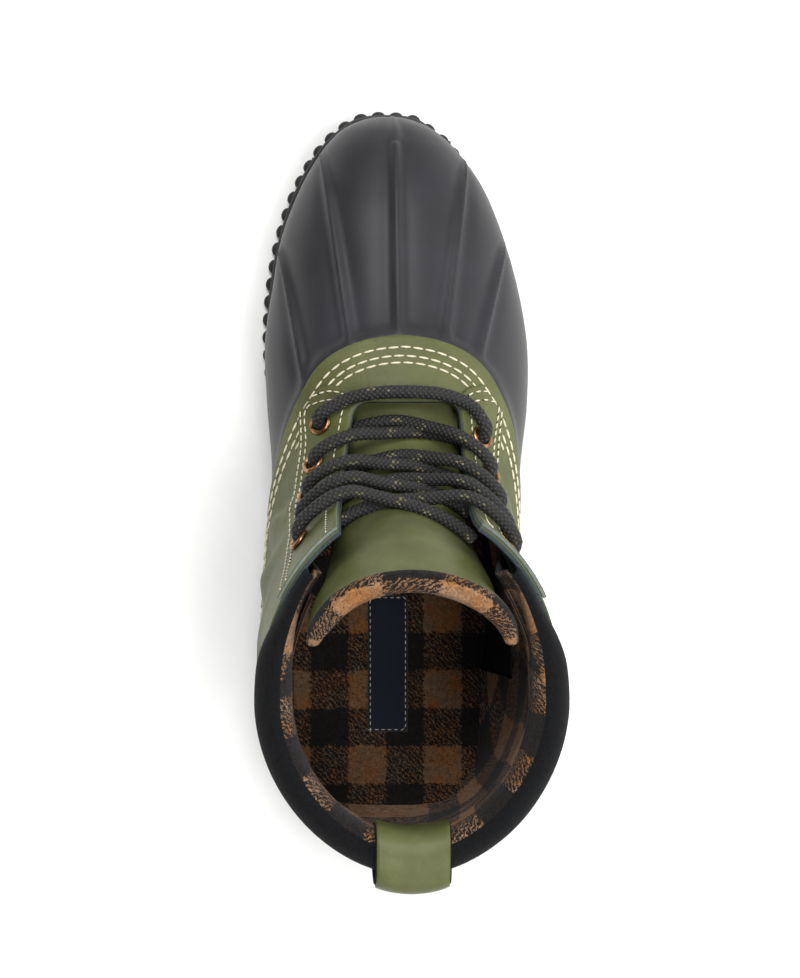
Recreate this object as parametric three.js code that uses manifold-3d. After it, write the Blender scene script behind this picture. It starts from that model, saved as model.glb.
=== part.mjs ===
// Right duck boot: a moulded rubber shell on a chain-tread outsole, with a leather shaft sewn to it,
// a tongue, eyestays, a padded collar cuff, rope lacing through brass eyelets and a pull loop.
// Millimetres. +Y runs from heel to toe, +X to the wearer's right (the outer side), +Z up.
// The origin is the middle of the heel's tread, on the floor.
import * as THREE from "three";
import { mergeVertices } from "three/addons/utils/BufferGeometryUtils.js";
import Module from "manifold-3d";

const wasm = await Module();
wasm.setup();

// Driving sizes of the boot
const soleLength = 292;
const heelOverhang = 40; // the sole's back edge lies this far behind the origin
const ballWidth = 106; // shell, over the ball of the foot
const collarWidth = 114.5; // shaft, over the open collar
const instepHeight = 80; // top of the rubber shell at the throat
const collarHeight = 166;
const clearance = 0.35; // between pieces that meet

// Outsole and insole
const foreThickness = 10;
const heelHeight = 25;
const toeSpring = 9;
const treadDepth = 3.4;
const lugPitch = 7;
const lugWidth = 4.6;
const lugProud = 2.4; // the tread stands out past the sole's edge by this much
const waistThickness = 10.5;
const heelBevel = 3;
const insoleThickness = 4;
const insoleGap = 1; // all round, to the shell's inside

// Walls of the upper
const shellWall = 3;
const flangeWall = 2.2; // the shell's edge that runs up under the leather
const flangeReach = 7;
const leatherWall = 2.4;
const eyestayWall = 1.4;
const ribHeight = 1.3;
const ribWidth = 4.6;

// Cuff, tongue and pull loop
const cuffThickness = 11.5;
const cuffDepth = 24;
const cuffTaper = 0.55; // the cuff's thickness at its front ends, as a share
const tongueWall = 4.5;
const tongueTopWall = 9;
const tongueSlack = 1.6; // between the laces and the tongue
const tongueWidth = 79; // across its top
const tongueWrap = 27; // its top corners lie this far behind its middle
const tongueHeight = 178;
const loopWidth = 28;
const loopWall = 2.2;
const loopReach = 8.5; // behind the cuff

// Throat, eyelets and laces
const throatHalfLow = 21;
const throatHalfTop = 26.3;
const eyeletHalfLow = 30.5; // from the throat's middle line, seen from above
const eyeletHalfTop = 39.5;
const eyeletRows = 5;
const eyeletFlange = 4.9;
const eyeletBarrel = 3.7;
const eyeletBore = 3.15;
const eyeletRim = 0.9;
const laceDiameter = 5.2;
const laceSides = 6;

// Fineness of the faceted surfaces
const stationsPerRow = 1.4;
const pointsAround = 28;

// Sections of the last from toe to collar. Each lies in a plane across the boot, from a low point on
// the sole or the heel's back to a top point on the instep line. Lengths are shares of the sole's
// length from its back edge; rises run from 0 to 1 up to the instep height and on to 2 at the collar;
// half widths are shares of half the ball width and of half the collar width.
const sectionColumns = [
  "topAlong", "topRise", "lowAlong", "lowRise", "centre",
  "footHalf", "legHalf", "widest", "lowPower", "topPower",
];
const sectionRows = [
  [0.992, 0.340, 0.992, 0.212, -0.066, 0.075, 0.000, 0.50, 2.0, 2.00],
  [0.987, 0.412, 0.987, 0.138, -0.066, 0.204, 0.000, 0.50, 2.6, 2.20],
  [0.971, 0.519, 0.973, 0.100, -0.064, 0.368, 0.000, 0.45, 3.2, 2.20],
  [0.938, 0.619, 0.945, 0.069, -0.056, 0.530, 0.000, 0.42, 3.8, 2.10],
  [0.884, 0.712, 0.897, 0.038, -0.048, 0.705, 0.000, 0.42, 4.2, 2.05],
  [0.812, 0.800, 0.832, 0.019, -0.046, 0.852, 0.000, 0.42, 4.5, 2.00],
  [0.736, 0.894, 0.760, 0.006, -0.037, 0.945, 0.000, 0.42, 4.5, 1.95],
  [0.658, 1.006, 0.682, 0.006, -0.036, 1.006, 0.000, 0.43, 4.5, 1.90],
  [0.596, 1.072, 0.582, 0.019, -0.034, 0.994, 0.000, 0.44, 4.2, 1.90],
  [0.555, 1.155, 0.473, 0.050, -0.040, 0.949, 0.000, 0.47, 3.6, 1.90],
  [0.522, 1.270, 0.342, 0.100, -0.055, 0.934, 0.000, 0.52, 3.4, 1.92],
  [0.502, 1.400, 0.178, 0.150, -0.068, 0.500, 0.415, 0.58, 3.3, 1.95],
  [0.489, 1.540, 0.024, 0.250, -0.068, 0.250, 0.678, 0.57, 3.2, 2.00],
  [0.480, 1.660, 0.002, 0.750, -0.060, 0.080, 0.864, 0.52, 2.7, 2.00],
  [0.473, 1.770, 0.007, 1.209, -0.050, 0.000, 0.956, 0.48, 2.2, 2.02],
  [0.467, 1.860, 0.002, 1.605, -0.040, 0.000, 0.980, 0.47, 2.0, 2.04],
  [0.462, 1.940, -0.005, 1.960, -0.034, 0.000, 1.000, 0.46, 1.86, 2.04],
  [0.440, 2.330, -0.012, 2.480, -0.034, 0.000, 1.020, 0.46, 1.84, 2.04],
];

// Outline of the sole: length share from the back edge, then the inner and the outer edge as shares
// of the ball width.
const outlineColumns = ["along", "inner", "outer"];
const outlineRows = [
  [0.000, -0.100, -0.040],
  [0.018, -0.300, 0.165],
  [0.060, -0.405, 0.262],
  [0.130, -0.448, 0.314],
  [0.240, -0.458, 0.326],
  [0.340, -0.462, 0.342],
  [0.450, -0.468, 0.386],
  [0.560, -0.492, 0.448],
  [0.650, -0.520, 0.462],
  [0.720, -0.520, 0.446],
  [0.790, -0.496, 0.412],
  [0.850, -0.455, 0.352],
  [0.900, -0.400, 0.290],
  [0.945, -0.325, 0.205],
  [0.975, -0.243, 0.110],
  [0.992, -0.150, 0.020],
];

// Side view of the edge between rubber and leather, and of the leather's top edge.
const seamColumns = ["along", "rise"];
const shellEdgeRows = [
  [0.760, 1.180],
  [0.712, 1.070],
  [0.678, 0.990],
  [0.640, 0.925],
  [0.593, 0.875],
  [0.527, 0.812],
  [0.455, 0.778],
  [0.330, 0.752],
  [0.200, 0.762],
  [0.090, 0.815],
  [-0.010, 0.880],
  [-0.060, 0.900],
];
const leatherTopRows = [
  [0.520, 1.900],
  [0.450, 1.915],
  [0.390, 1.925],
  [0.340, 1.905],
  [0.290, 1.860],
  [0.230, 1.815],
  [0.130, 1.785],
  [-0.060, 1.780],
];

const eyestayRearRows = [
  [0.340, 1.960],
  [0.362, 1.700],
  [0.400, 1.400],
  [0.462, 1.120],
  [0.530, 0.950],
  [0.600, 0.860],
];

// Ribs on the toe, seen from above: where each leaves the leather's edge and where it ends near the
// toe, as shares of the ball width from the middle and of the sole's length.
const ribColumns = ["seamAcross", "seamAlong", "toeAcross", "toeAlong"];
const ribRows = [
  [-0.400, 0.630, -0.480, 0.800],
  [-0.225, 0.668, -0.320, 0.928],
  [-0.045, 0.676, -0.045, 0.970],
  [0.128, 0.668, 0.225, 0.915],
  [0.240, 0.630, 0.370, 0.800],
];

const named = (columns, rows) =>
  rows.map((row) => Object.fromEntries(columns.map((name, i) => [name, row[i]])));
const sections = named(sectionColumns, sectionRows);
const outline = named(outlineColumns, outlineRows);
const shellEdge = named(seamColumns, shellEdgeRows);
const leatherTop = named(seamColumns, leatherTopRows);
const eyestayRear = named(seamColumns, eyestayRearRows);
const ribs = named(ribColumns, ribRows);

const along = (share) => share * soleLength - heelOverhang;
const rise = (share) =>
  share < 1 ? share * instepHeight : instepHeight + (share - 1) * (collarHeight - instepHeight);
const mix = (a, b, t) => a + (b - a) * t;
const clamp01 = (t) => Math.min(1, Math.max(0, t));
const smooth = (t) => clamp01(t) ** 2 * (3 - 2 * clamp01(t));

// Solids and geometries
function toSolid(geometry) {
  const bare = geometry.index ? geometry.toNonIndexed() : geometry.clone();
  bare.deleteAttribute("normal");
  bare.deleteAttribute("uv");
  const merged = mergeVertices(bare, 1e-4);
  return new wasm.Manifold(
    new wasm.Mesh({
      numProp: 3,
      vertProperties: merged.attributes.position.array,
      triVerts: new Uint32Array(merged.index.array),
    }),
  );
}

function toGeometry(solid) {
  const mesh = solid.getMesh();
  const stride = mesh.numProp;
  const places = new Float32Array(mesh.numVert * 3);
  for (let i = 0; i < mesh.numVert; i++) {
    places.set(mesh.vertProperties.subarray(i * stride, i * stride + 3), i * 3);
  }
  return new THREE.BufferGeometry()
    .setAttribute("position", new THREE.BufferAttribute(places, 3))
    .setIndex(new THREE.BufferAttribute(mesh.triVerts, 1));
}

// A closed body through rings of points, each ring closed, with a fan over each end.
function ringBody(rings) {
  const count = rings[0].length;
  const points = rings.flat();
  const faces = [];
  for (let r = 0; r + 1 < rings.length; r++) {
    for (let c = 0; c < count; c++) {
      const a = r * count + c;
      const b = r * count + ((c + 1) % count);
      faces.push(a, a + count, b, b, a + count, b + count);
    }
  }
  [0, rings.length - 1].forEach((r, end) => {
    const middle = new THREE.Vector3();
    rings[r].forEach((p) => middle.addScaledVector(p, 1 / count));
    const tip = points.push(middle) - 1;
    for (let c = 0; c < count; c++) {
      const a = r * count + c;
      const b = r * count + ((c + 1) % count);
      if (end) faces.push(b, a, tip);
      else faces.push(a, b, tip);
    }
  });
  return bodyFrom(points, faces);
}

// A closed body between an outer and an inner grid of points.
function sheetBody(outer, inner) {
  const rows = outer.length;
  const columns = outer[0].length;
  const points = [...outer.flat(), ...inner.flat()];
  const back = rows * columns;
  const faces = [];
  const quad = (a, b, c, d) => faces.push(a, b, c, a, c, d);
  for (let r = 0; r + 1 < rows; r++) {
    for (let c = 0; c + 1 < columns; c++) {
      const a = r * columns + c;
      quad(a, a + columns, a + columns + 1, a + 1);
      quad(back + a, back + a + 1, back + a + columns + 1, back + a + columns);
    }
    const left = r * columns;
    const right = left + columns - 1;
    quad(left, back + left, back + left + columns, left + columns);
    quad(right, right + columns, back + right + columns, back + right);
  }
  for (let c = 0; c + 1 < columns; c++) {
    const last = (rows - 1) * columns + c;
    quad(c, c + 1, back + c + 1, back + c);
    quad(last, back + last, back + last + 1, last + 1);
  }
  return bodyFrom(points, faces);
}

function bodyFrom(points, faces) {
  const geometry = new THREE.BufferGeometry().setFromPoints(points).setIndex(faces);
  const solid = toSolid(geometry);
  if (solid.volume() >= 0) return solid;
  for (let i = 0; i < faces.length; i += 3) [faces[i + 1], faces[i + 2]] = [faces[i + 2], faces[i + 1]];
  return toSolid(geometry.setIndex(faces));
}

// The last's surface: s runs from 0 at the toe to 1 above the collar, angle from 0 on the instep line
// to pi on the sole or the heel's back, positive on the outer side.
function sectionAt(s) {
  const place = clamp01(s) * (sections.length - 1);
  const i = Math.min(sections.length - 2, Math.floor(place));
  const t = place - i;
  const pick = (k) => sections[Math.min(sections.length - 1, Math.max(0, k))];
  const [before, from, to, after] = [pick(i - 1), pick(i), pick(i + 1), pick(i + 2)];
  const value = {};
  for (const name of sectionColumns) {
    const [a, b, c, d] = [before[name], from[name], to[name], after[name]];
    value[name] = b + 0.5 * t * (c - a + t * (2 * a - 5 * b + 4 * c - d + t * (3 * (b - c) + d - a)));
  }
  return value;
}

function lastPoint(s, angle) {
  const row = sectionAt(s);
  const cosine = Math.cos(angle);
  const sine = Math.abs(Math.sin(angle));
  const power = 2 / (cosine > 0 ? row.topPower : row.lowPower);
  const half = (row.footHalf * ballWidth + row.legHalf * collarWidth) / 2;
  const reach = cosine > 0 ? 1 - row.widest : row.widest;
  const up = row.widest + Math.sign(cosine) * reach * Math.abs(cosine) ** power;
  return new THREE.Vector3(
    row.centre * ballWidth + Math.sign(Math.sin(angle)) * half * sine ** power,
    mix(along(row.lowAlong), along(row.topAlong), up),
    mix(rise(row.lowRise), rise(row.topRise), up),
  );
}

const small = 1e-3;
function skinPoint(s, angle, inset = 0) {
  const ahead = lastPoint(Math.min(1, s + small), angle).sub(lastPoint(Math.max(0, s - small), angle));
  const round = lastPoint(s, angle + small).sub(lastPoint(s, angle - small));
  return lastPoint(s, angle).addScaledVector(ahead.cross(round).normalize(), -inset);
}

const stationCount = Math.round((sections.length - 1) * stationsPerRow);
const stations = Array.from({ length: stationCount + 1 }, (_, i) => i / stationCount);
const angles = Array.from({ length: pointsAround }, (_, i) => ((i + 0.5) / pointsAround - 0.5) * 2 * Math.PI);

const lastCache = new Map();
function lastBody(inset) {
  if (!lastCache.has(inset)) {
    lastCache.set(inset, ringBody(stations.map((s) => angles.map((a) => skinPoint(s, a, inset)))));
  }
  return lastCache.get(inset);
}
const skinLayer = (outerInset, innerInset) => lastBody(outerInset).subtract(lastBody(innerInset));

// The skin's place under a point seen from above, on the front of the boot.
function angleAtX(s, x) {
  const side = Math.sign(x - sectionAt(s).centre * ballWidth) || 1;
  let [near, far] = [0, Math.PI / 2];
  for (let i = 0; i < 24; i++) {
    const middle = (near + far) / 2;
    if (side * (lastPoint(s, side * middle).x - x) < 0) near = middle;
    else far = middle;
  }
  return side * near;
}
function skinUnder(x, y) {
  let [toeward, heelward] = [0.02, 1];
  for (let i = 0; i < 24; i++) {
    const s = (toeward + heelward) / 2;
    if (lastPoint(s, angleAtX(s, x)).y > y) toeward = s;
    else heelward = s;
  }
  return { s: toeward, angle: angleAtX(toeward, x) };
}

// Bodies cut straight across the boot from a side view, and straight down from a plan view.
const wide = ballWidth + collarWidth;
function acrossBody(points) {
  const shape = new THREE.Shape(points.map(([y, z]) => new THREE.Vector2(y, z)));
  const geometry = new THREE.ExtrudeGeometry(shape, { depth: 2 * wide, bevelEnabled: false });
  geometry.applyMatrix4(new THREE.Matrix4().set(0, 0, 1, -wide, 1, 0, 0, 0, 0, 1, 0, 0, 0, 0, 0, 1));
  return toSolid(geometry);
}
function planBody(points, low, high) {
  const shape = new THREE.Shape(points.map(([x, y]) => new THREE.Vector2(x, y)));
  const geometry = new THREE.ExtrudeGeometry(shape, { depth: high - low, bevelEnabled: false });
  return toSolid(geometry.translate(0, 0, low));
}
const splinePoints = (points, count) =>
  new THREE.SplineCurve(points.map(([a, b]) => new THREE.Vector2(a, b)))
    .getPoints(count)
    .map((p) => [p.x, p.y]);

const above = rise(2.6);
const below = -instepHeight;
// The side of a seam line that lies under it, moved by a step along the boot and up.
function underSeam(rows, stepAlong = 0, stepUp = 0) {
  const line = splinePoints(rows.map((r) => [along(r.along) + stepAlong, rise(r.rise) + stepUp]), 18);
  const [front, back] = [line[0], line[line.length - 1]];
  return acrossBody([[along(1.3), below], [along(1.3), front[1]], ...line, [along(-0.3), back[1]],
    [along(-0.3), below]]);
}

// Outsole
const ballStart = along(0.49);
const springStart = along(0.79);
const heelFront = along(0.235);
const rampEnd = along(0.27);
function soleTop(y) {
  const ramp = smooth((ballStart - y) / (ballStart - rampEnd));
  const lift = clamp01((y - springStart) / (along(1) - springStart)) ** 2;
  return mix(foreThickness, heelHeight, ramp) + lift * toeSpring;
}
function soleFloor(y) {
  if (y < heelFront) return heelBevel * clamp01((along(0) + 2 * heelBevel - y) / (2 * heelBevel)) ** 2;
  const lift = clamp01((y - springStart) / (along(1) - springStart)) ** 2 * toeSpring;
  return Math.max(0, soleTop(y) - lift - Math.max(waistThickness, foreThickness)) + lift;
}

function soleOutline(grow) {
  const side = (name) =>
    outline.map((r) => new THREE.Vector2(r[name] * ballWidth, along(r.along)));
  const curve = new THREE.SplineCurve([...side("outer"), ...side("inner").reverse(), side("outer")[0]]);
  const count = 76;
  return Array.from({ length: count }, (_, i) => {
    const t = i / count;
    const forward = curve.getTangent(t);
    const p = curve.getPoint(t);
    return [p.x + forward.y * grow, p.y - forward.x * grow];
  });
}

function soleProfile(floorLift) {
  const steps = 5;
  const [back, front] = [along(-0.03), along(1.03)];
  const top = [];
  for (let y = back; y < front; y += steps) top.push([y, soleTop(y)]);
  top.push([front, soleTop(front)]);
  const floor = top.map(([y]) => [y, soleFloor(y) + floorLift]);
  const breast = [[heelFront - small, soleFloor(heelFront - small)], [heelFront, soleFloor(heelFront)]];
  const line = [...floor.filter(([y]) => y < heelFront - 1),
    ...breast.map(([y, z]) => [y, z + floorLift]), ...floor.filter(([y]) => y > heelFront + 1)];
  return acrossBody([...line, ...top.reverse()]);
}

// Transverse lugs, counted from the one under the origin, so that it lies on the heel's middle.
function lugs() {
  const first = Math.ceil((along(0) + lugWidth / 2) / lugPitch);
  const last = Math.floor(along(1) / lugPitch);
  const found = [];
  for (let k = first; k <= last; k++) {
    const y = k * lugPitch;
    const onHeel = y + lugWidth / 2 < heelFront;
    const onBall = y - lugWidth / 2 > along(0.40);
    if (onHeel || onBall) found.push(y);
  }
  return found.map((y) => {
    const ends = [y - lugWidth / 2, y + lugWidth / 2];
    return acrossBody([
      ...ends.map((e) => [e, soleFloor(e)]),
      ...ends.reverse().map((e) => [e, soleFloor(e) + treadDepth + 1.2]),
    ]);
  });
}

function makeOutsole() {
  const body = planBody(soleOutline(0), below, above).intersect(soleProfile(treadDepth));
  const tread = planBody(soleOutline(lugProud), below, above);
  return body.add(wasm.Manifold.union(lugs()).intersect(tread));
}

// Insole: the floor of the last, above the sole and inside the shell.
function bandAboveSole(low, high) {
  const steps = 9;
  const floor = [];
  for (let y = along(-0.1); y <= along(1.1); y += steps) floor.push([y, soleTop(y)]);
  return acrossBody([
    ...floor.map(([y, z]) => [y, z + low]),
    ...floor.reverse().map(([y, z]) => [y, z + high]),
  ]);
}
function makeInsole() {
  const low = 1.3 * clearance;
  return lastBody(shellWall + insoleGap).intersect(bandAboveSole(low, low + insoleThickness));
}

// Shell: the rubber foot, open above and below, with a flange under the leather and ribs on the toe.
function ribBody(rib) {
  const rows = 8;
  const across = [-0.5, -0.24, 0.24, 0.5];
  const insets = [0.5, -ribHeight, -ribHeight, 0.5];
  const sunk = shellWall / 2;
  const seam = skinUnder(rib.seamAcross * ballWidth, along(rib.seamAlong));
  const toe = skinUnder(rib.toeAcross * ballWidth, along(rib.toeAlong));
  const grid = (inner) =>
    Array.from({ length: rows }, (_, i) => {
      const t = i / (rows - 1);
      const s = mix(seam.s, toe.s, t);
      const angle = mix(seam.angle, toe.angle, t);
      const perRadian = lastPoint(s, angle + small).distanceTo(lastPoint(s, angle - small)) / (2 * small);
      const fade = smooth((1 - t) * 4);
      return across.map((u, k) =>
        skinPoint(s, angle + (u * ribWidth) / perRadian, inner ? sunk : mix(0.5, insets[k], fade)));
    });
  return sheetBody(grid(false), grid(true));
}

function makeShell() {
  const edge = underSeam(shellEdge);
  const wall = skinLayer(0, shellWall).intersect(edge);
  const inset = leatherWall + clearance;
  const flange = skinLayer(inset, inset + flangeWall)
    .intersect(underSeam(shellEdge, -flangeReach / 2, flangeReach * 0.8))
    .subtract(underSeam(shellEdge, 0, -flangeReach * 0.8));
  const raised = wasm.Manifold.union(ribs.map(ribBody)).intersect(edge);
  return wall
    .add(flange)
    .add(raised)
    .subtract(bandAboveSole(-2 * instepHeight, 1.3 * clearance));
}

// Plan of the throat: its middle line and half width by place, and the eyelets' places.
const throatLow = along(0.596);
const throatTop = along(0.452);
const towardsTop = (y) => (throatLow - y) / (throatLow - throatTop);
const throatMiddle = (y) => mix(-0.017, -0.043, clamp01(towardsTop(y))) * ballWidth;
const throatHalf = (y) => mix(throatHalfLow, throatHalfTop, towardsTop(y));
const eyeletMiddle = throatMiddle(throatTop) + 0.4;
function eyeletPlace(side, row) {
  const t = row / (eyeletRows - 1);
  const s = side < 0 ? mix(0.507, 0.783, t) : mix(0.531, 0.765, t);
  const half = mix(eyeletHalfLow, eyeletHalfTop, 1 - (1 - t) ** 1.3);
  return { s, angle: angleAtX(s, eyeletMiddle + side * half) };
}

function throatPrism(grow) {
  const corner = 6;
  const half = throatHalfLow + grow;
  const [front, back] = [throatLow + grow, along(0.27)];
  const round = Array.from({ length: 5 }, (_, i) => {
    const turn = (i / 4) * (Math.PI / 2);
    return [half - corner + corner * Math.cos(turn), front - corner + corner * Math.sin(turn)];
  });
  const right = [[throatHalf(back) + grow, back], [throatHalf(throatTop) + grow, throatTop], ...round];
  const left = right.map(([x, y]) => [-x, y]).reverse();
  return planBody([...right, ...left].map(([x, y]) => [x + throatMiddle(y), y]), below, above);
}

// Upper: the leather shaft with the throat cut out.
function makeUpper() {
  return skinLayer(0, leatherWall)
    .intersect(underSeam(leatherTop))
    .subtract(underSeam(shellEdge, 0, clearance))
    .subtract(throatPrism(0))
    .subtract(wasm.Manifold.union(eyeletHoles()));
}

// Eyestays: overlays along the throat, with a round front end.
const eyestayReach = 21;
function eyestayPlan(side) {
  const edge = (y, reach) => throatMiddle(y) + side * (throatHalf(y) + reach);
  const front = throatLow + 5.5;
  const points = [
    [edge(throatLow, 0) - side * 3, front - 7],
    [edge(throatLow, 3), front - 1.5],
    [edge(throatLow, 9), front],
    [edge(throatLow, 16), front - 3],
    [edge(throatLow, eyestayReach), front - 12],
    [edge(along(0.52), eyestayReach), along(0.52)],
    [edge(along(0.45), eyestayReach), along(0.45)],
    [edge(along(0.36), eyestayReach), along(0.36)],
  ];
  const outer = splinePoints(points, 14);
  const middle = throatMiddle(throatTop);
  return planBody([...outer, [middle, along(0.36)], [middle, front - 7]], below, above);
}
function makeEyestay(side) {
  const gap = clearance;
  const rear = splinePoints(eyestayRear.map((r) => [along(r.along), rise(r.rise)]), 12);
  return skinLayer(-gap - eyestayWall, -gap)
    .intersect(eyestayPlan(side))
    .intersect(acrossBody([[rear[0][0], above], [along(0.8), above], [along(0.8), rear.at(-1)[1]],
      ...rear.reverse()]))
    .intersect(underSeam(leatherTop))
    .subtract(underSeam(shellEdge, 0, 3))
    .subtract(throatPrism(0))
    .subtract(wasm.Manifold.union(eyeletHoles()));
}

// Eyelets
const eyestayTop = -clearance - eyestayWall;
function eyeletFrame(side, row) {
  const { s, angle } = eyeletPlace(side, row);
  const seat = skinPoint(s, angle, eyestayTop - 1.6 * clearance);
  const outward = seat.clone().sub(skinPoint(s, angle, 5)).normalize();
  return { seat, outward };
}
function eyeletMatrix(side, row) {
  const { seat, outward } = eyeletFrame(side, row);
  const turn = new THREE.Quaternion().setFromUnitVectors(new THREE.Vector3(0, 1, 0), outward);
  return new THREE.Matrix4().compose(seat, turn, new THREE.Vector3(1, 1, 1));
}
const sidesAndRows = [-1, 1].flatMap((side) =>
  Array.from({ length: eyeletRows }, (_, row) => ({ side, row })));
const eyeletSides = 8;
function eyeletHoles() {
  const hole = eyeletBarrel + clearance;
  return sidesAndRows.map(({ side, row }) => {
    const geometry = new THREE.CylinderGeometry(hole, hole, 24, eyeletSides);
    return toSolid(geometry.applyMatrix4(eyeletMatrix(side, row)));
  });
}
function makeEyelet(side, row) {
  const length = eyestayWall + leatherWall + 2 * clearance + 1;
  const profile = [
    [eyeletBore, -length],
    [eyeletBarrel, -length],
    [eyeletBarrel, 0],
    [eyeletFlange, 0],
    [eyeletFlange - 0.5, eyeletRim],
    [eyeletBore, eyeletRim - 0.2],
    [eyeletBore, -length],
  ].map(([r, z]) => new THREE.Vector2(r, z));
  const geometry = new THREE.LatheGeometry(profile, eyeletSides);
  return toSolid(geometry.applyMatrix4(eyeletMatrix(side, row)));
}

// Tongue: a padded sheet under the throat that leans back at its top, where it wraps the ankle.
const tongueStart = 0.437;
const tongueTurn = 0.80;
const tongueInset = leatherWall + laceDiameter + 3 * clearance + tongueSlack;
function tonguePoint(t, u) {
  const s = mix(tongueStart, tongueTurn, Math.min(1, t / 0.72));
  const half = mix(throatHalfLow + 5, tongueWidth / 2 - 2, smooth(t * 1.2));
  const angle = angleAtX(s, throatMiddle(lastPoint(s, 0).y) + u * half);
  const low = skinPoint(s, angle, tongueInset);
  const turn = (u * Math.PI) / 2;
  const top = new THREE.Vector3(
    throatMiddle(throatTop) + (tongueWidth / 2) * Math.sin(turn),
    along(0.384) - tongueWrap * (1 - Math.cos(turn)),
    tongueHeight - 7 * Math.abs(u) ** 2,
  );
  return low.lerp(top, smooth((t - 0.5) / 0.62) / smooth(0.5 / 0.62));
}
function makeTongue() {
  const rows = 13;
  const columns = 11;
  const grid = (inner) =>
    Array.from({ length: rows }, (_, i) => {
      const t = i / (rows - 1);
      const wall = mix(tongueWall, tongueTopWall, smooth((t - 0.75) / 0.25));
      return Array.from({ length: columns }, (_, k) => {
        const u = (k / (columns - 1)) * 2 - 1;
        if (!inner) return tonguePoint(t, u);
        const alongIt = tonguePoint(t + small, u).sub(tonguePoint(t - small, u));
        const acrossIt = tonguePoint(t, u + small).sub(tonguePoint(t, u - small));
        const thin = 1 - 0.45 * Math.abs(u) ** 4;
        return tonguePoint(t, u).addScaledVector(acrossIt.cross(alongIt).normalize(), wall * thin);
      });
    });
  return sheetBody(grid(false), grid(true)).intersect(lastBody(leatherWall + clearance));
}

// Cuff: a padded roll round the collar, stepped over the leather's top edge.
const cuffTopAt = 0.945;
function makeCuff() {
  const rings = [];
  const count = 22;
  const frontAngle = 0.80;
  for (let i = 0; i <= count; i++) {
    const angle = mix(frontAngle, 2 * Math.PI - frontAngle, i / count);
    const toBack = 1 - Math.abs(i / count - 0.5) * 2;
    const thick = cuffThickness * mix(cuffTaper, 1, smooth(toBack * 3));
    const depth = cuffDepth * mix(0.7, 1, smooth(toBack * 3));
    rings.push(cuffSection(angle, thick, depth, cuffTopAt));
  }
  const gap = clearance;
  const outside = skinLayer(-6, leatherWall + gap).intersect(underSeam(leatherTop, 0, gap));
  return ringBody(rings).subtract(outside);
}
function cuffSection(angle, thick, depth, top) {
  const perStation = lastPoint(top, angle).distanceTo(lastPoint(top - 0.02, angle)) / 0.02;
  const radius = thick / 2;
  const points = [];
  const turns = 6;
  for (let k = 0; k <= turns; k++) {
    const turn = (k / turns) * Math.PI;
    const inset = radius - radius * Math.cos(turn) - 0.4;
    points.push(skinPoint(top - (radius - radius * Math.sin(turn)) / perStation, angle, inset));
  }
  points.push(skinPoint(top - (depth - 3) / perStation, angle, thick - 0.8));
  points.push(skinPoint(top - depth / perStation, angle, thick - 3));
  points.push(skinPoint(top - depth / perStation, angle, 2));
  points.push(skinPoint(top - (depth - 3) / perStation, angle, -0.4));
  return points;
}

// Laces: each strand comes from under one edge of the throat, lies over the tongue, and goes over
// the other edge into its eyelet. The columns give the stations where it comes out and lies midway.
const strandColumns = ["row", "side", "underAt", "middleAt"];
const strandRows = [
  [1, 1, 0.497, 0.488],
  [1, -1, 0.515, 0.507],
  [2, 1, 0.572, 0.549],
  [2, -1, 0.590, 0.569],
  [3, 1, 0.626, 0.603],
  [3, -1, 0.648, 0.627],
  [4, 1, 0.712, 0.684],
  [4, -1, 0.760, 0.702],
];
const strands = named(strandColumns, strandRows);
const laceRadius = laceDiameter / 2;
const laceOnTongue = leatherWall + 2 * clearance + laceRadius;
const laceOnEyestay = eyestayTop - laceRadius - 2 * clearance;

const onSkin = (s, x, inset) => skinPoint(s, angleAtX(s, x), inset);
function throatEdge(s, side, reach) {
  const { y } = lastPoint(s, 0);
  return throatMiddle(y) + side * (throatHalf(y) + reach);
}
// The bend from lying on the eyestay to standing in the eyelet's bore.
function eyeletBend(side, row, from) {
  const { seat, outward } = eyeletFrame(side, row);
  const inward = from.clone().sub(seat).projectOnPlane(outward).normalize();
  const radius = (eyeletBore + eyeletFlange) / 2;
  const middle = seat.clone().addScaledVector(inward, radius).addScaledVector(outward, 0.3);
  const bend = [1.1, 0.75, 0.4, 0.05].map((turn) =>
    middle.clone()
      .addScaledVector(inward, -radius * Math.cos(turn * Math.PI / 2))
      .addScaledVector(outward, (radius + 0.1) * Math.sin(turn * Math.PI / 2)));
  return [...bend, seat.clone().addScaledVector(outward, -2)];
}
function strandPath({ row, side, underAt, middleAt }) {
  const end = eyeletPlace(side, row).s;
  const start = onSkin(underAt + 0.01, throatEdge(underAt, -side, 3), leatherWall + 2 * clearance + laceRadius);
  const path = [
    start,
    onSkin(mix(underAt, middleAt, 0.3), throatEdge(underAt, -side, -5), laceOnTongue),
    onSkin(middleAt, throatEdge(middleAt, side, -throatHalfLow), laceOnTongue),
    onSkin(mix(middleAt, end, 0.22), throatEdge(middleAt, side, -12), laceOnTongue - 2.6),
    onSkin(mix(middleAt, end, 0.45), throatEdge(middleAt, side, -5.4), -4),
    onSkin(mix(middleAt, end, 0.7), throatEdge(end, side, 0.8), laceOnEyestay - 0.7),
  ];
  const smoothed = new THREE.CatmullRomCurve3(path, false, "centripetal").getPoints(8);
  return [...smoothed, ...eyeletBend(side, row, path.at(-1))];
}
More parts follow.
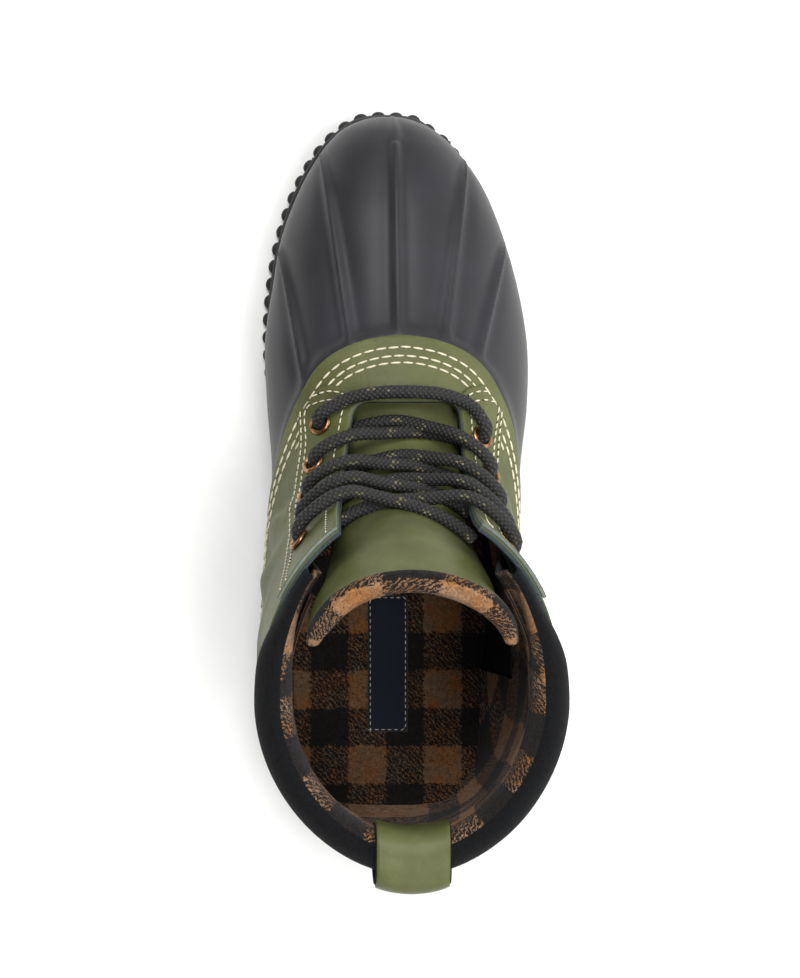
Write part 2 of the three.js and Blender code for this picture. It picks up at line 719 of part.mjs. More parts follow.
function barPath() {
  const s = 0.464;
  const over = laceOnEyestay;
  const half = [
    onSkin(s, throatEdge(s, 1, -throatHalfLow), over),
    onSkin(s + 0.004, throatEdge(s, 1, -8), over),
    onSkin(s + 0.02, throatEdge(s, 1, 2), laceOnEyestay),
  ];
  const other = half.slice(1).map((p, i) =>
    onSkin(s + [0.002, 0.012][i], throatEdge(s, -1, [-8, 2][i]), i ? laceOnEyestay : over));
  const path = [...other.reverse(), ...half];
  const smoothed = new THREE.CatmullRomCurve3(path, false, "centripetal").getPoints(9);
  return [
    ...eyeletBend(-1, 0, path[0]).reverse(), ...smoothed, ...eyeletBend(1, 0, path.at(-1)),
  ];
}
function ropeBody(path) {
  let across = new THREE.Vector3(0, 0, 1);
  const rings = path.map((p, i) => {
    const ahead = path[Math.min(path.length - 1, i + 1)].clone().sub(path[Math.max(0, i - 1)]).normalize();
    across = across.clone().projectOnPlane(ahead).normalize();
    const up = ahead.clone().cross(across);
    return Array.from({ length: laceSides }, (_, k) => {
      const turn = (k / laceSides) * 2 * Math.PI;
      return p.clone()
        .addScaledVector(across, laceRadius * Math.cos(turn))
        .addScaledVector(up, laceRadius * Math.sin(turn));
    });
  });
  return ringBody(rings);
}

// Pull loop: a strap from inside the cuff, over it and down to the back of the shaft.
function makePullLoop() {
  const cuffBack = skinPoint(cuffTopAt, Math.PI, -0.4);
  const foot = skinPoint(0.86, Math.PI, -3 * clearance);
  const inside = cuffBack.y + cuffThickness + 8 * clearance;
  const top = cuffBack.z + 2 * clearance;
  const outside = cuffBack.y - loopReach + loopWall;
  const line = [
    [inside, top - 17],
    [inside, top - 7],
    [inside - 1, top - 2],
    [inside - cuffThickness / 3, top + 0.6],
    [inside - (2 * cuffThickness) / 3, top + 0.6],
    [outside + 3, top - 1.5],
    [outside + 0.4, top - 8],
    [outside, top - 17],
    [mix(outside, foot.y, 0.5), top - 31],
    [foot.y - 0.2, foot.z + 8],
    [foot.y, foot.z],
  ];
  const path = splinePoints(line, 20).map(([y, z]) => new THREE.Vector2(y, z));
  const columns = 5;
  const backRadius = 40;
  const grid = (offset) =>
    path.map((p, i) => {
      const ahead = path[Math.min(path.length - 1, i + 1)].clone().sub(path[Math.max(0, i - 1)]).normalize();
      return Array.from({ length: columns }, (_, k) => {
        const x = (k / (columns - 1) - 0.5) * loopWidth;
        const y = p.x + ahead.y * offset + x ** 2 / (2 * backRadius);
        return new THREE.Vector3(x + cuffBack.x, y, p.y - ahead.x * offset);
      });
    });
  return sheetBody(grid(0), grid(loopWall));
}

const solids = new Map();
solids.set("outsole", makeOutsole());
solids.set("insole", makeInsole());
solids.set("shell", makeShell());
solids.set("upper", makeUpper());
solids.set("eyestay_inner", makeEyestay(-1));
solids.set("eyestay_outer", makeEyestay(1));
solids.set("tongue", makeTongue());
solids.set("cuff", makeCuff());
for (const { side, row } of sidesAndRows) {
  solids.set("eyelet_" + (side < 0 ? "inner" : "outer") + "_" + (row + 1), makeEyelet(side, row));
}

solids.set("lace_bar", ropeBody(barPath()));
for (let row = 1; row < eyeletRows; row++) {
  const pair = strands.filter((strand) => strand.row === row).map((strand) => ropeBody(strandPath(strand)));
  solids.set("lace_cross_" + row, wasm.Manifold.union(pair));
}
solids.set("pull_loop", makePullLoop());

const finish = (color, roughness, metalness = 0) =>
  new THREE.MeshStandardMaterial({ color, roughness, metalness });
const rubber = finish(0x2f3033, 0.55);
const leather = finish(0x596039, 0.45);
const felt = finish(0x1b1c1f, 0.95);
const brass = finish(0x8a6a45, 0.35, 1);
const materialOf = (name) => {
  if (name.startsWith("eyelet_")) return brass;
  if (name === "shell" || name === "outsole") return rubber;
  if (name === "cuff" || name === "insole" || name.startsWith("lace_")) return felt;
  return leather;
};

const boot = new THREE.Group();
for (const [name, solid] of solids) {
  const mesh = new THREE.Mesh(toGeometry(solid), materialOf(name));
  mesh.name = name;
  boot.add(mesh);
}
export default boot;
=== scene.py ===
# Right duck boot: rubber shell, olive leather shaft, felt collar, plaid wool lining, rope laces.
import math
import bpy
import bmesh
import numpy as np
from mathutils import Matrix, Vector, noise


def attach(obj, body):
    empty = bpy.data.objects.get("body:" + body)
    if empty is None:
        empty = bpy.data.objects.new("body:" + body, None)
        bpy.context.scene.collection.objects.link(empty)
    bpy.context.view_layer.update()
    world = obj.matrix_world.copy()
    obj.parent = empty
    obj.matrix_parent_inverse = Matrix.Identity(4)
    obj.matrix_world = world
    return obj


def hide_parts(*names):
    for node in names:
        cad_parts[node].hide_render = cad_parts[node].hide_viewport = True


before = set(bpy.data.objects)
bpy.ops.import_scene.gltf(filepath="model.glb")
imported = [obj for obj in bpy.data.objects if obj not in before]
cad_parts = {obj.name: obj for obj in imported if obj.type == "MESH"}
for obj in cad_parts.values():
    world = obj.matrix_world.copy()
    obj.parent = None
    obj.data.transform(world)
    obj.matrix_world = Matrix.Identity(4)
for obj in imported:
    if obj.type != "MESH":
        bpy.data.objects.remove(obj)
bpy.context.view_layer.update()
print("frame loaded")

# the last, in millimetres, the same sizes and rows as the part
soleLength, heelOverhang, ballWidth, collarWidth = 292.0, 40.0, 106.0, 114.5
instepHeight, collarHeight = 80.0, 166.0
sectionRows = np.array([
    # topAlong topRise lowAlong lowRise centre footHalf legHalf widest lowPower topPower
    [0.992, 0.340, 0.992, 0.212, -0.066, 0.075, 0.000, 0.50, 2.0, 2.00],
    [0.987, 0.412, 0.987, 0.138, -0.066, 0.204, 0.000, 0.50, 2.6, 2.20],
    [0.971, 0.519, 0.973, 0.100, -0.064, 0.368, 0.000, 0.45, 3.2, 2.20],
    [0.938, 0.619, 0.945, 0.069, -0.056, 0.530, 0.000, 0.42, 3.8, 2.10],
    [0.884, 0.712, 0.897, 0.038, -0.048, 0.705, 0.000, 0.42, 4.2, 2.05],
    [0.812, 0.800, 0.832, 0.019, -0.046, 0.852, 0.000, 0.42, 4.5, 2.00],
    [0.736, 0.894, 0.760, 0.006, -0.037, 0.945, 0.000, 0.42, 4.5, 1.95],
    [0.658, 1.006, 0.682, 0.006, -0.036, 1.006, 0.000, 0.43, 4.5, 1.90],
    [0.596, 1.072, 0.582, 0.019, -0.034, 0.994, 0.000, 0.44, 4.2, 1.90],
    [0.555, 1.155, 0.473, 0.050, -0.040, 0.949, 0.000, 0.47, 3.6, 1.90],
    [0.522, 1.270, 0.342, 0.100, -0.055, 0.934, 0.000, 0.52, 3.4, 1.92],
    [0.502, 1.400, 0.178, 0.150, -0.068, 0.500, 0.415, 0.58, 3.3, 1.95],
    [0.489, 1.540, 0.024, 0.250, -0.068, 0.250, 0.678, 0.57, 3.2, 2.00],
    [0.480, 1.660, 0.002, 0.750, -0.060, 0.080, 0.864, 0.52, 2.7, 2.00],
    [0.473, 1.770, 0.007, 1.209, -0.050, 0.000, 0.956, 0.48, 2.20, 2.02],
    [0.467, 1.860, 0.002, 1.605, -0.040, 0.000, 0.980, 0.47, 2.00, 2.04],
    [0.462, 1.940, -0.005, 1.960, -0.034, 0.000, 1.000, 0.46, 1.86, 2.04],
    [0.440, 2.330, -0.012, 2.480, -0.034, 0.000, 1.020, 0.46, 1.84, 2.04],
])
shellEdge = [(0.760, 1.180), (0.712, 1.070), (0.678, 0.990), (0.640, 0.925), (0.593, 0.875),
             (0.527, 0.812), (0.455, 0.778), (0.330, 0.752), (0.200, 0.762), (0.090, 0.815),
             (-0.010, 0.880), (-0.060, 0.900)]
leatherTop = [(0.520, 1.900), (0.450, 1.915), (0.390, 1.925), (0.340, 1.905), (0.290, 1.860),
              (0.230, 1.815), (0.130, 1.785), (-0.060, 1.780)]
eyestayRear = [(0.340, 1.960), (0.362, 1.700), (0.400, 1.400), (0.462, 1.120), (0.530, 0.950),
               (0.600, 0.860)]
ribRows = [(-0.400, 0.630, -0.480, 0.800), (-0.225, 0.668, -0.320, 0.928),
           (-0.045, 0.676, -0.045, 0.970), (0.128, 0.668, 0.225, 0.915),
           (0.240, 0.630, 0.370, 0.800)]


def along(share):
    return share * soleLength - heelOverhang


def rise(share):
    share = np.asarray(share, float)
    return np.where(share < 1, share * instepHeight,
                    instepHeight + (share - 1) * (collarHeight - instepHeight))


def smooth(t):
    t = np.clip(t, 0, 1)
    return t * t * (3 - 2 * t)


def mix(a, b, t):
    return a + (b - a) * t


def evenCurve(a, b, c, d, w):
    # Catmull-Rom curve from b to c; a and d are the points before and after
    return b + 0.5 * w * (c - a + w * (2 * a - 5 * b + 4 * c - d + w * (3 * (b - c) + d - a)))


def sectionAt(s):
    last = len(sectionRows) - 1
    place = np.clip(s, 0, 1) * last
    i = np.minimum(last - 1, np.floor(place).astype(int))
    near = [sectionRows[np.clip(i + k, 0, last)] for k in (-1, 0, 1, 2)]
    return evenCurve(*near, (place - i)[..., None])


def lastPoint(s, angle):
    s, angle = np.broadcast_arrays(np.asarray(s, float), np.asarray(angle, float))
    columns = np.moveaxis(sectionAt(s), -1, 0)
    topAlong, topRise, lowAlong, lowRise, centre, foot, leg, widest, lowPower, topPower = columns
    cosine, sine = np.cos(angle), np.abs(np.sin(angle))
    power = 2 / np.where(cosine > 0, topPower, lowPower)
    half = (foot * ballWidth + leg * collarWidth) / 2
    reach = np.where(cosine > 0, 1 - widest, widest)
    up = widest + np.sign(cosine) * reach * np.abs(cosine) ** power
    return np.stack([
        centre * ballWidth + np.sign(np.sin(angle)) * half * sine ** power,
        mix(along(lowAlong), along(topAlong), up),
        mix(rise(lowRise), rise(topRise), up),
    ], -1)


def unit(v):
    return v / np.maximum(np.linalg.norm(v, axis=-1, keepdims=True), 1e-9)


def skinNormal(s, angle, step=1e-3):
    ahead = lastPoint(np.minimum(1, s + step), angle) - lastPoint(np.maximum(0, s - step), angle)
    around = lastPoint(s, angle + step) - lastPoint(s, angle - step)
    return unit(np.cross(ahead, around))


def skinPoint(s, angle, inset=0.0):
    return lastPoint(s, angle) - skinNormal(s, angle) * np.asarray(inset)[..., None]


def angleAtX(s, x):
    s, x = np.broadcast_arrays(np.asarray(s, float), np.asarray(x, float))
    side = np.where(x - sectionAt(s)[..., 4] * ballWidth < 0, -1.0, 1.0)
    near, far = np.zeros_like(s), np.full_like(s, math.pi / 2)
    for _ in range(22):
        middle = (near + far) / 2
        short = side * (lastPoint(s, side * middle)[..., 0] - x) < 0
        near, far = np.where(short, middle, near), np.where(short, far, middle)
    return side * near


def splineLine(points, count=60):
    # the same curve as the part's seams follow
    p = np.array([(along(a), float(rise(b))) for a, b in points])
    t = np.linspace(0, 1, count + 1) * (len(p) - 1)
    i = np.minimum(len(p) - 2, np.floor(t).astype(int))
    near = [p[np.clip(i + k, 0, len(p) - 1)] for k in (-1, 0, 1, 2)]
    return evenCurve(*near, (t - i)[:, None])


def heightOn(line, y):
    order = np.argsort(line[:, 0])
    return np.interp(y, line[order, 0], line[order, 1])


seamLine = splineLine(shellEdge)
toplineLine = splineLine(leatherTop)
rearLine = splineLine(eyestayRear)

throat = dict(halfLow=21.0, halfTop=26.3, corner=6.0)
throatLow, throatTop = along(0.596), along(0.452)
# front edge of the eyestays: distance from the throat's edge, and place ahead of the throat's low end
eyestayFront = np.array([(-3, -1.5), (3, 4), (6, 5.2), (9, 5.5), (12.5, 4.6), (16, 2.5), (19, -1.5),
                         (21, -6.5), (23, -16.5)])


def throatMiddle(y):
    return mix(-0.017, -0.043, np.clip((throatLow - y) / (throatLow - throatTop), 0, 1)) * ballWidth


def throatHalf(y):
    return mix(throat["halfLow"], throat["halfTop"], (throatLow - y) / (throatLow - throatTop))


def throatEdge(s, side, reach):
    y = lastPoint(s, 0.0)[..., 1]
    return throatMiddle(y) + side * (throatHalf(y) + reach)


# fields on the skin, in millimetres, positive on the side that stays
def fieldPoints(params):
    return lastPoint(params[:, 0], params[:, 1])


def aboveSeam(p):
    return p[:, 2] - heightOn(seamLine, p[:, 1])


def underTopline(p):
    return heightOn(toplineLine, p[:, 1]) - p[:, 2]


def offThroat(p):
    r = throat["corner"]
    qx = np.abs(p[:, 0] - throatMiddle(p[:, 1])) - throatHalf(p[:, 1]) + r
    qy = p[:, 1] - throatLow + r
    box = np.hypot(np.maximum(qx, 0), np.maximum(qy, 0)) + np.minimum(np.maximum(qx, qy), 0) - r
    return np.maximum(box, along(0.27) - p[:, 1])


def inEyestay(p):
    reach = np.abs(p[:, 0] - throatMiddle(p[:, 1])) - throatHalf(p[:, 1])
    front = np.interp(reach, eyestayFront[:, 0], eyestayFront[:, 1] + throatLow)
    order = np.argsort(rearLine[:, 1])
    rear = np.interp(p[:, 2], rearLine[order, 1], rearLine[order, 0])
    return np.minimum(np.minimum((front - p[:, 1]) * 0.8, 21 - reach), (p[:, 1] - rear) * 0.75)


def gridFaces(rows, columns, turned=False):
    # the quads of points that are stored row by row
    near, far = (columns, 1) if turned else (1, columns)
    starts = [r * columns + c for r in range(rows - 1) for c in range(columns - 1)]
    return [(a, a + near, a + near + far, a + far) for a in starts]


# a grid on the skin, cut along fields, as points (s, angle) and faces
def skinGrid(sFrom, sTo, rows, columns, angleFrom=-math.pi, angleTo=math.pi):
    s, angle = np.meshgrid(np.linspace(sFrom, sTo, rows), np.linspace(angleFrom, angleTo, columns),
                           indexing="ij")
    return np.stack([s.ravel(), angle.ravel()], 1), gridFaces(rows, columns, turned=True)


def cutGrid(params, faces, field, level=0.0):
    # keeps the side where the field is over the level, with new points where its edges cross it
    value = field(fieldPoints(params)) - level
    params = list(map(tuple, params))
    made, kept, cutEdges = {}, [], []

    def crossing(i, j):
        key = (min(i, j), max(i, j))
        if key not in made:
            a, b = np.array(params[key[0]]), np.array(params[key[1]])
            fa, fb = value[key[0]], value[key[1]]
            for _ in range(2):
                t = min(0.98, max(0.02, fa / (fa - fb)))
                m = a + (b - a) * t
                fm = float(field(fieldPoints(m[None]))[0] - level)
                if (fm > 0) == (fa > 0):
                    a, fa = m, fm if abs(fm) > 1e-9 else 1e-9
                else:
                    b, fb = m, fm if abs(fm) > 1e-9 else -1e-9
            made[key] = len(params)
            params.append(tuple(a + (b - a) * min(1, max(0, fa / (fa - fb)))))
        return made[key]

    inside = value > 0
    for face in faces:
        flags = [inside[i] for i in face]
        if all(flags):
            kept.append(face)
            continue
        if not any(flags):
            continue
        corners, cut = [], []
        for k, i in enumerate(face):
            j = face[(k + 1) % len(face)]
            if inside[i]:
                corners.append(i)
            if inside[i] != inside[j]:
                m = crossing(i, j)
                corners.append(m)
                cut.append(m)
        if len(corners) >= 3:
            kept.append(tuple(corners))
        if len(cut) == 2:
            cutEdges.append((cut[0], cut[1]))
    return np.array(params), kept, cutEdges


def traceLine(field, level, grid, keep=None):
    # points (s, angle) along field = level, chained into lines
    params, _, edges = cutGrid(grid[0], grid[1], field, level)
    links = {}
    for a, b in edges:
        links.setdefault(a, []).append(b)
        links.setdefault(b, []).append(a)
    lines, seen = [], set()
    for start in sorted(links, key=lambda v: len(links[v])):
        if start in seen:
            continue
        line, here = [start], start
        seen.add(start)
        while True:
            ahead = [v for v in links[here] if v not in seen]
            if not ahead:
                break
            here = ahead[0]
            seen.add(here)
            line.append(here)
        if len(line) > 6:
            lines.append(params[line])
    if keep is None:
        return lines
    parts = []
    for line in lines:
        good = keep(fieldPoints(line))
        run = []
        for point, ok in zip(line, good):
            if ok:
                run.append(point)
            elif run:
                parts.append(np.array(run))
                run = []
        if run:
            parts.append(np.array(run))
    return [part for part in parts if len(part) > 6]


def distances(points):
    # how far along the line each of its points lies
    return np.concatenate([[0], np.cumsum(np.linalg.norm(np.diff(points, axis=0), axis=1))])


def evenLine(points, step):
    # the same line with points at even steps
    place = distances(points)
    count = max(2, int(round(place[-1] / step)) + 1)
    wanted = np.linspace(0, place[-1], count)
    return np.stack([np.interp(wanted, place, points[:, k]) for k in range(points.shape[1])], 1)


# making objects
def toLinear(value):
    return value / 12.92 if value <= 0.04045 else ((value + 0.055) / 1.055) ** 2.4


def colour(text):
    parts = [int(text[i:i + 2], 16) / 255 for i in (1, 3, 5)]
    return tuple(toLinear(p) for p in parts) + (1.0,)


def newObject(name, verts, faces, materials, uvs=None, slots=None, flat=False):
    mesh = bpy.data.meshes.new(name)
    places = [tuple(v) for v in np.asarray(verts) / 1000.0]
    mesh.from_pydata(places, [], [tuple(map(int, f)) for f in faces])
    for material in materials:
        mesh.materials.append(material)
    if slots is not None:
        mesh.polygons.foreach_set("material_index", list(slots))
    if uvs is not None:
        layer = mesh.uv_layers.new(name="UVMap")
        index = np.empty(len(mesh.loops), int)
        mesh.loops.foreach_get("vertex_index", index)
        layer.data.foreach_set("uv", np.asarray(uvs, float)[index].ravel())
    if not flat:
        mesh.polygons.foreach_set("use_smooth", [True] * len(mesh.polygons))
    mesh.update()
    thing = bpy.data.objects.new(name, mesh)
    bpy.context.scene.collection.objects.link(thing)
    return thing


def closeUp(thing, gap=2e-5):
    # drops loose points, merges doubles and turns all faces outwards
    work = bmesh.new()
    work.from_mesh(thing.data)
    bmesh.ops.delete(work, geom=[v for v in work.verts if not v.link_faces], context="VERTS")
    bmesh.ops.remove_doubles(work, verts=work.verts, dist=gap)
    bmesh.ops.recalc_face_normals(work, faces=work.faces)
    work.to_mesh(thing.data)
    work.free()
    return thing


def addPiece(thing, slotName, *nodes):
    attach(thing, "root")
    if nodes:
        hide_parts(*nodes)
    return thing


def giveWall(thing, thickness):
    # live wall under the modelled face
    solid = thing.modifiers.new("wall", "SOLIDIFY")
    solid.thickness = thickness
    solid.offset = -1


def skinSheet(name, params, faces, outer, inner, materials, rimSlot=0, innerSlot=0, lip=0.25):
    # a closed sheet between two depths of the skin, with a soft rim; outer and inner are functions of
    # the points (s, angle) and give the inset
    rounding = (0.22, 0.78)
    cloth = dict(around=55.0, along=400.0)
    count = len(params)
    s, angle = params[:, 0], params[:, 1]
    normal = skinNormal(s, angle)
    base = lastPoint(s, angle)
    outset, inset = outer(s, angle, base), inner(s, angle, base)
    top = base - normal * outset[:, None]
    low = base - normal * inset[:, None]
    tip = s < 1e-6
    if tip.any():
        # the last's first section closes to one point, tucked in behind the sole's edge
        top[tip] = top[tip].mean(0) + (0, 0.3, -3.6)
        low[tip] = low[tip].mean(0) + (0, 0, -3.6)
    verts = [top, low]
    allFaces = [tuple(f) for f in faces] + [tuple(count + i for i in reversed(f)) for f in faces]
    slots = [0] * len(faces) + [innerSlot] * len(faces)
    used = {}
    for face in faces:
        for k, i in enumerate(face):
            j = face[(k + 1) % len(face)]
            used[(i, j)] = used.get((i, j), 0) + 1
    rim = [(i, j) for (i, j) in used if (j, i) not in used and not (tip[i] and tip[j])]
    # the rim's own points lie a little outside, near the top and near the bottom, so it reads round
    outward = {}
    for i, j in rim:
        edge = top[j] - top[i]
        for k in (i, j):
            away = np.cross(edge, normal[k])
            outward[k] = outward.get(k, 0) + away / (np.linalg.norm(away) + 1e-9)
    extra, place = [], {}
    for k, away in outward.items():
        away = away / (np.linalg.norm(away) + 1e-9)
        for depth in rounding:
            place[(k, depth)] = 2 * count + len(extra)
            extra.append(mix(top[k], low[k], depth) + away * lip)
    for i, j in rim:
        a, b, c, d = (place[(k, depth)] for depth in rounding for k in (i, j))
        allFaces += [(j, i, a, b), (b, a, c, d), (d, c, count + i, count + j)]
        slots += [0, rimSlot, rimSlot]
    if extra:
        verts.append(np.array(extra))
    verts = np.concatenate(verts)
    width = np.concatenate([angle * cloth["around"]] * 2 + [[0] * len(extra)])
    length = np.concatenate([s * cloth["along"]] * 2 + [[0] * len(extra)])
    return newObject(name, verts, allFaces, materials, np.stack([width, length], 1), slots)


# materials
def newMaterial(name):
    material = bpy.data.materials.new(name)
    material.use_nodes = True
    tree = material.node_tree
    return material, tree, tree.nodes["Principled BSDF"]


def addNode(tree, kind, inputs=None, **settings):
    node = tree.nodes.new(kind)
    for key, value in settings.items():
        setattr(node, key, value)
    for key, value in (inputs or {}).items():
        if isinstance(value, bpy.types.NodeSocket):
            tree.links.new(value, node.inputs[key])
        else:
            node.inputs[key].default_value = value
    return node


def maths(tree, operation, first, second):
    return addNode(tree, "ShaderNodeMath", {0: first, 1: second}, operation=operation).outputs[0]


def vectorMaths(tree, operation, first, second):
    return addNode(tree, "ShaderNodeVectorMath", {0: first, 1: second}, operation=operation).outputs[0]


def clouds(tree, place, scale, detail, **more):
    inputs = {"Vector": place, "Scale": scale, "Detail": detail}
    return addNode(tree, "ShaderNodeTexNoise", {**inputs, **more})


def spread(tree, value, low, high, newLow=0.0, newHigh=1.0):
    return addNode(tree, "ShaderNodeMapRange", {"Value": value, "From Min": low, "From Max": high,
                                                "To Min": newLow, "To Max": newHigh}).outputs[0]


def mmPoints(tree):
    # object coordinates, in millimetres
    place = addNode(tree, "ShaderNodeTexCoord")
    return vectorMaths(tree, "MULTIPLY", place.outputs["Object"], (1000, 1000, 1000))


def bumpOn(tree, shader, height, strength, distance, before=None):
    inputs = {"Height": height, "Strength": strength, "Distance": distance}
    if before is not None:
        inputs["Normal"] = before.outputs[0]
    bump = addNode(tree, "ShaderNodeBump", inputs)
    tree.links.new(bump.outputs[0], shader.inputs["Normal"])
    return bump


def ramp(tree, value, *stops):
    node = addNode(tree, "ShaderNodeValToRGB", {"Fac": value})
    while len(node.color_ramp.elements) < len(stops):
        node.color_ramp.elements.new(0.5)
    for element, (place, text) in zip(node.color_ramp.elements, stops):
        element.position = place
        element.color = colour(text)
    return node.outputs[0]


def setLook(tree, shader, tone, look):
    tree.links.new(tone, shader.inputs["Base Color"])
    for name, value in look.items():
        shader.inputs[name].default_value = value


def mouldedRubber(name, dark, light, rough):
    # natural rubber from a fine-eroded mould: even charcoal, matt, with a soft broad shine
    material, tree, shader = newMaterial(name)
    place = mmPoints(tree)
    tone = ramp(tree, clouds(tree, place, 0.045, 3.0).outputs[0], (0.3, dark), (0.7, light))
    setLook(tree, shader, tone, {"Roughness": rough, "Specular IOR Level": 0.3})
    bumpOn(tree, shader, clouds(tree, place, 2.2, 2.0).outputs[0], 0.18, 0.0001)
    return material


def oliveLeather(name, dark, mid, light):
    # full-grain cowhide, dyed olive and lightly waxed: close pores, low satin shine, paler where worn
    material, tree, shader = newMaterial(name)
    place = mmPoints(tree)
    patches = clouds(tree, place, 0.035, 5.0, Roughness=0.6)
    tone = ramp(tree, patches.outputs[0], (0.28, dark), (0.5, mid), (0.72, light))
    pores = addNode(tree, "ShaderNodeTexVoronoi", {"Vector": place, "Scale": 1.1},
                    feature="DISTANCE_TO_EDGE")
    grain = clouds(tree, place, 0.9, 6.0, Roughness=0.65)
    fold = clouds(tree, place, 0.11, 3.0, Distortion=0.6)
    setLook(tree, shader, tone, {"Specular IOR Level": 0.27})
    tree.links.new(spread(tree, grain.outputs[0], 0.3, 0.7, 0.46, 0.6), shader.inputs["Roughness"])
    soft = bumpOn(tree, shader, fold.outputs[0], 0.35, 0.0012)
    grained = bumpOn(tree, shader, grain.outputs[0], 0.3, 0.0003, soft)
    bumpOn(tree, shader, pores.outputs[0], 0.14, 0.0002, grained)
    return material


def plainCloth(name, dark, light, scale, rough=0.95, strength=0.6, depth=0.0006, sheen=0.35):
    # felted or woven cloth seen too close for a pattern: matt, with fibre-sized relief
    material, tree, shader = newMaterial(name)
    fibres = clouds(tree, mmPoints(tree), scale, 6.0, Roughness=0.75, Distortion=0.8)
    tone = ramp(tree, fibres.outputs[0], (0.32, dark), (0.72, light))
    setLook(tree, shader, tone, {"Roughness": rough, "Sheen Weight": sheen, "Sheen Roughness": 0.6,
                                 "Specular IOR Level": 0.12})
    bumpOn(tree, shader, fibres.outputs[0], strength, depth)
    return material


def plaidWool(name, check, tan, orange):
    # brushed wool in a buffalo check: solid black, solid tan and a twill of both, with a raised nap
    material, tree, shader = newMaterial(name)
    uv = addNode(tree, "ShaderNodeTexCoord").outputs["UV"]
    fuzz = clouds(tree, uv, 0.55, 5.0, Roughness=0.7)
    shift = vectorMaths(tree, "SUBTRACT", fuzz.outputs["Color"], (0.5, 0.5, 0.5))
    place = vectorMaths(tree, "ADD", uv, vectorMaths(tree, "MULTIPLY", shift, (6.0, 6.0, 6.0)))
    split = addNode(tree, "ShaderNodeSeparateXYZ", {0: place}).outputs

    def band(value):
        return spread(tree, maths(tree, "PINGPONG", value, check), check / 2 - 0.5, check / 2 + 0.5)

    both = maths(tree, "ADD", band(split[0]), band(split[1]))
    twill = maths(tree, "PINGPONG", maths(tree, "ADD", split[0], split[1]), 1.1)
    solidTan = maths(tree, "GREATER_THAN", both, 1.5)
    solidBlack = maths(tree, "LESS_THAN", both, 0.5)
    twillArea = maths(tree, "SUBTRACT", 1.0, maths(tree, "ADD", solidTan, solidBlack))
    twillShare = maths(tree, "MULTIPLY", twillArea, spread(tree, twill, 0.62, 0.98))
    tanShare = maths(tree, "ADD", solidTan, twillShare)
    tanTone = ramp(tree, clouds(tree, uv, 0.09, 2.0).outputs[0], (0.38, tan), (0.62, orange))
    nap = clouds(tree, uv, 0.8, 6.0, Roughness=0.8, Distortion=1.2)
    blackTone = ramp(tree, nap.outputs[0], (0.35, "#070606"), (0.7, "#1f1a18"))
    base = addNode(tree, "ShaderNodeMix", {"Factor": tanShare, 6: blackTone, 7: tanTone}, data_type="RGBA")
    worn = spread(tree, nap.outputs[0], 0.35, 0.66, 0.25, 1.6)
    tone = addNode(tree, "ShaderNodeVectorMath", {0: base.outputs[2], "Scale": worn}, operation="SCALE")
    setLook(tree, shader, tone.outputs[0], {"Roughness": 0.95, "Sheen Weight": 0.05,
                                            "Sheen Roughness": 0.55, "Specular IOR Level": 0.2})
    first = bumpOn(tree, shader, fuzz.outputs[0], 0.5, 0.0012)
    bumpOn(tree, shader, nap.outputs[0], 0.7, 0.0006, first)
    return material


def antiqueBrass(name):
    # stamped brass, darkened and rubbed back: brown in the hollows, coppery on the rim
    material, tree, shader = newMaterial(name)
    stain = clouds(tree, mmPoints(tree), 0.5, 4.0)
    tone = ramp(tree, stain.outputs[0], (0.35, "#5d3d27"), (0.65, "#b98a63"))
    setLook(tree, shader, tone, {"Metallic": 1.0, "Roughness": 0.34})
    bumpOn(tree, shader, stain.outputs[0], 0.1, 0.0002)
    return material


def braidedRope(name, plies=12.0):
    # round polyester braid over a core: black strands crossing at 45 degrees, with cream flecks
    material, tree, shader = newMaterial(name)
    uv = addNode(tree, "ShaderNodeTexCoord").outputs["UV"]
    split = addNode(tree, "ShaderNodeSeparateXYZ", {0: uv}).outputs

    def strand(sign):
        turned = maths(tree, "ADD", maths(tree, "MULTIPLY", split[1], plies * sign), split[0])
        return maths(tree, "PINGPONG", turned, 1.0)

    ridge = maths(tree, "MULTIPLY", strand(1.0), strand(-1.0))
    cell = vectorMaths(tree, "MULTIPLY", uv, (0.3, plies, 0))
    pick = addNode(tree, "ShaderNodeTexVoronoi", {"Vector": cell, "Scale": 1.0})
    lucky = addNode(tree, "ShaderNodeSeparateColor", {0: pick.outputs["Color"]})
    fleck = maths(tree, "GREATER_THAN", lucky.outputs[0], 0.935)
    share = maths(tree, "MULTIPLY", fleck, maths(tree, "GREATER_THAN", ridge, 0.22))
    # the strands' crowns are painted grey and the grooves between them near black: painted highlight and
    # painted shade on the black braid
    dark = ramp(tree, ridge, (0.04, "#030303"), (0.6, "#2f2e2c"))
    base = addNode(tree, "ShaderNodeMix", {"Factor": share, 6: dark, 7: colour("#6c6546")},
                   data_type="RGBA")
    setLook(tree, shader, base.outputs[2], {"Roughness": 0.75})
    bumpOn(tree, shader, ridge, 0.9, 0.0008)
    return material


print("materials")
# satin charcoal of the foot, and the blacker, drier rubber under it
rubber = mouldedRubber("mouldedRubberCharcoal", "#202023", "#28282c", 0.45)
soleRubber = mouldedRubber("soleRubberBlack", "#18181a", "#29292b", 0.55)
# olive with soft paler patches, its grey-blue cut edge, and the dark backing at the shaft's edges
leather = oliveLeather("waxedLeatherOlive", "#434626", "#4e522f", "#5b5e39")
rawEdge = plainCloth("cutLeatherEdge", "#4d5453", "#757c78", 1.2, 0.8, 0.4, 0.0003, 0.0)
bondedEdge = plainCloth("bondedFeltEdge", "#1b2023", "#465052", 1.6, 0.9, 0.5, 0.0004, 0.0)
# dense black nap with hardly a sheen
felt = plainCloth("woolFeltBlack", "#040405", "#111214", 0.9, sheen=0.03)
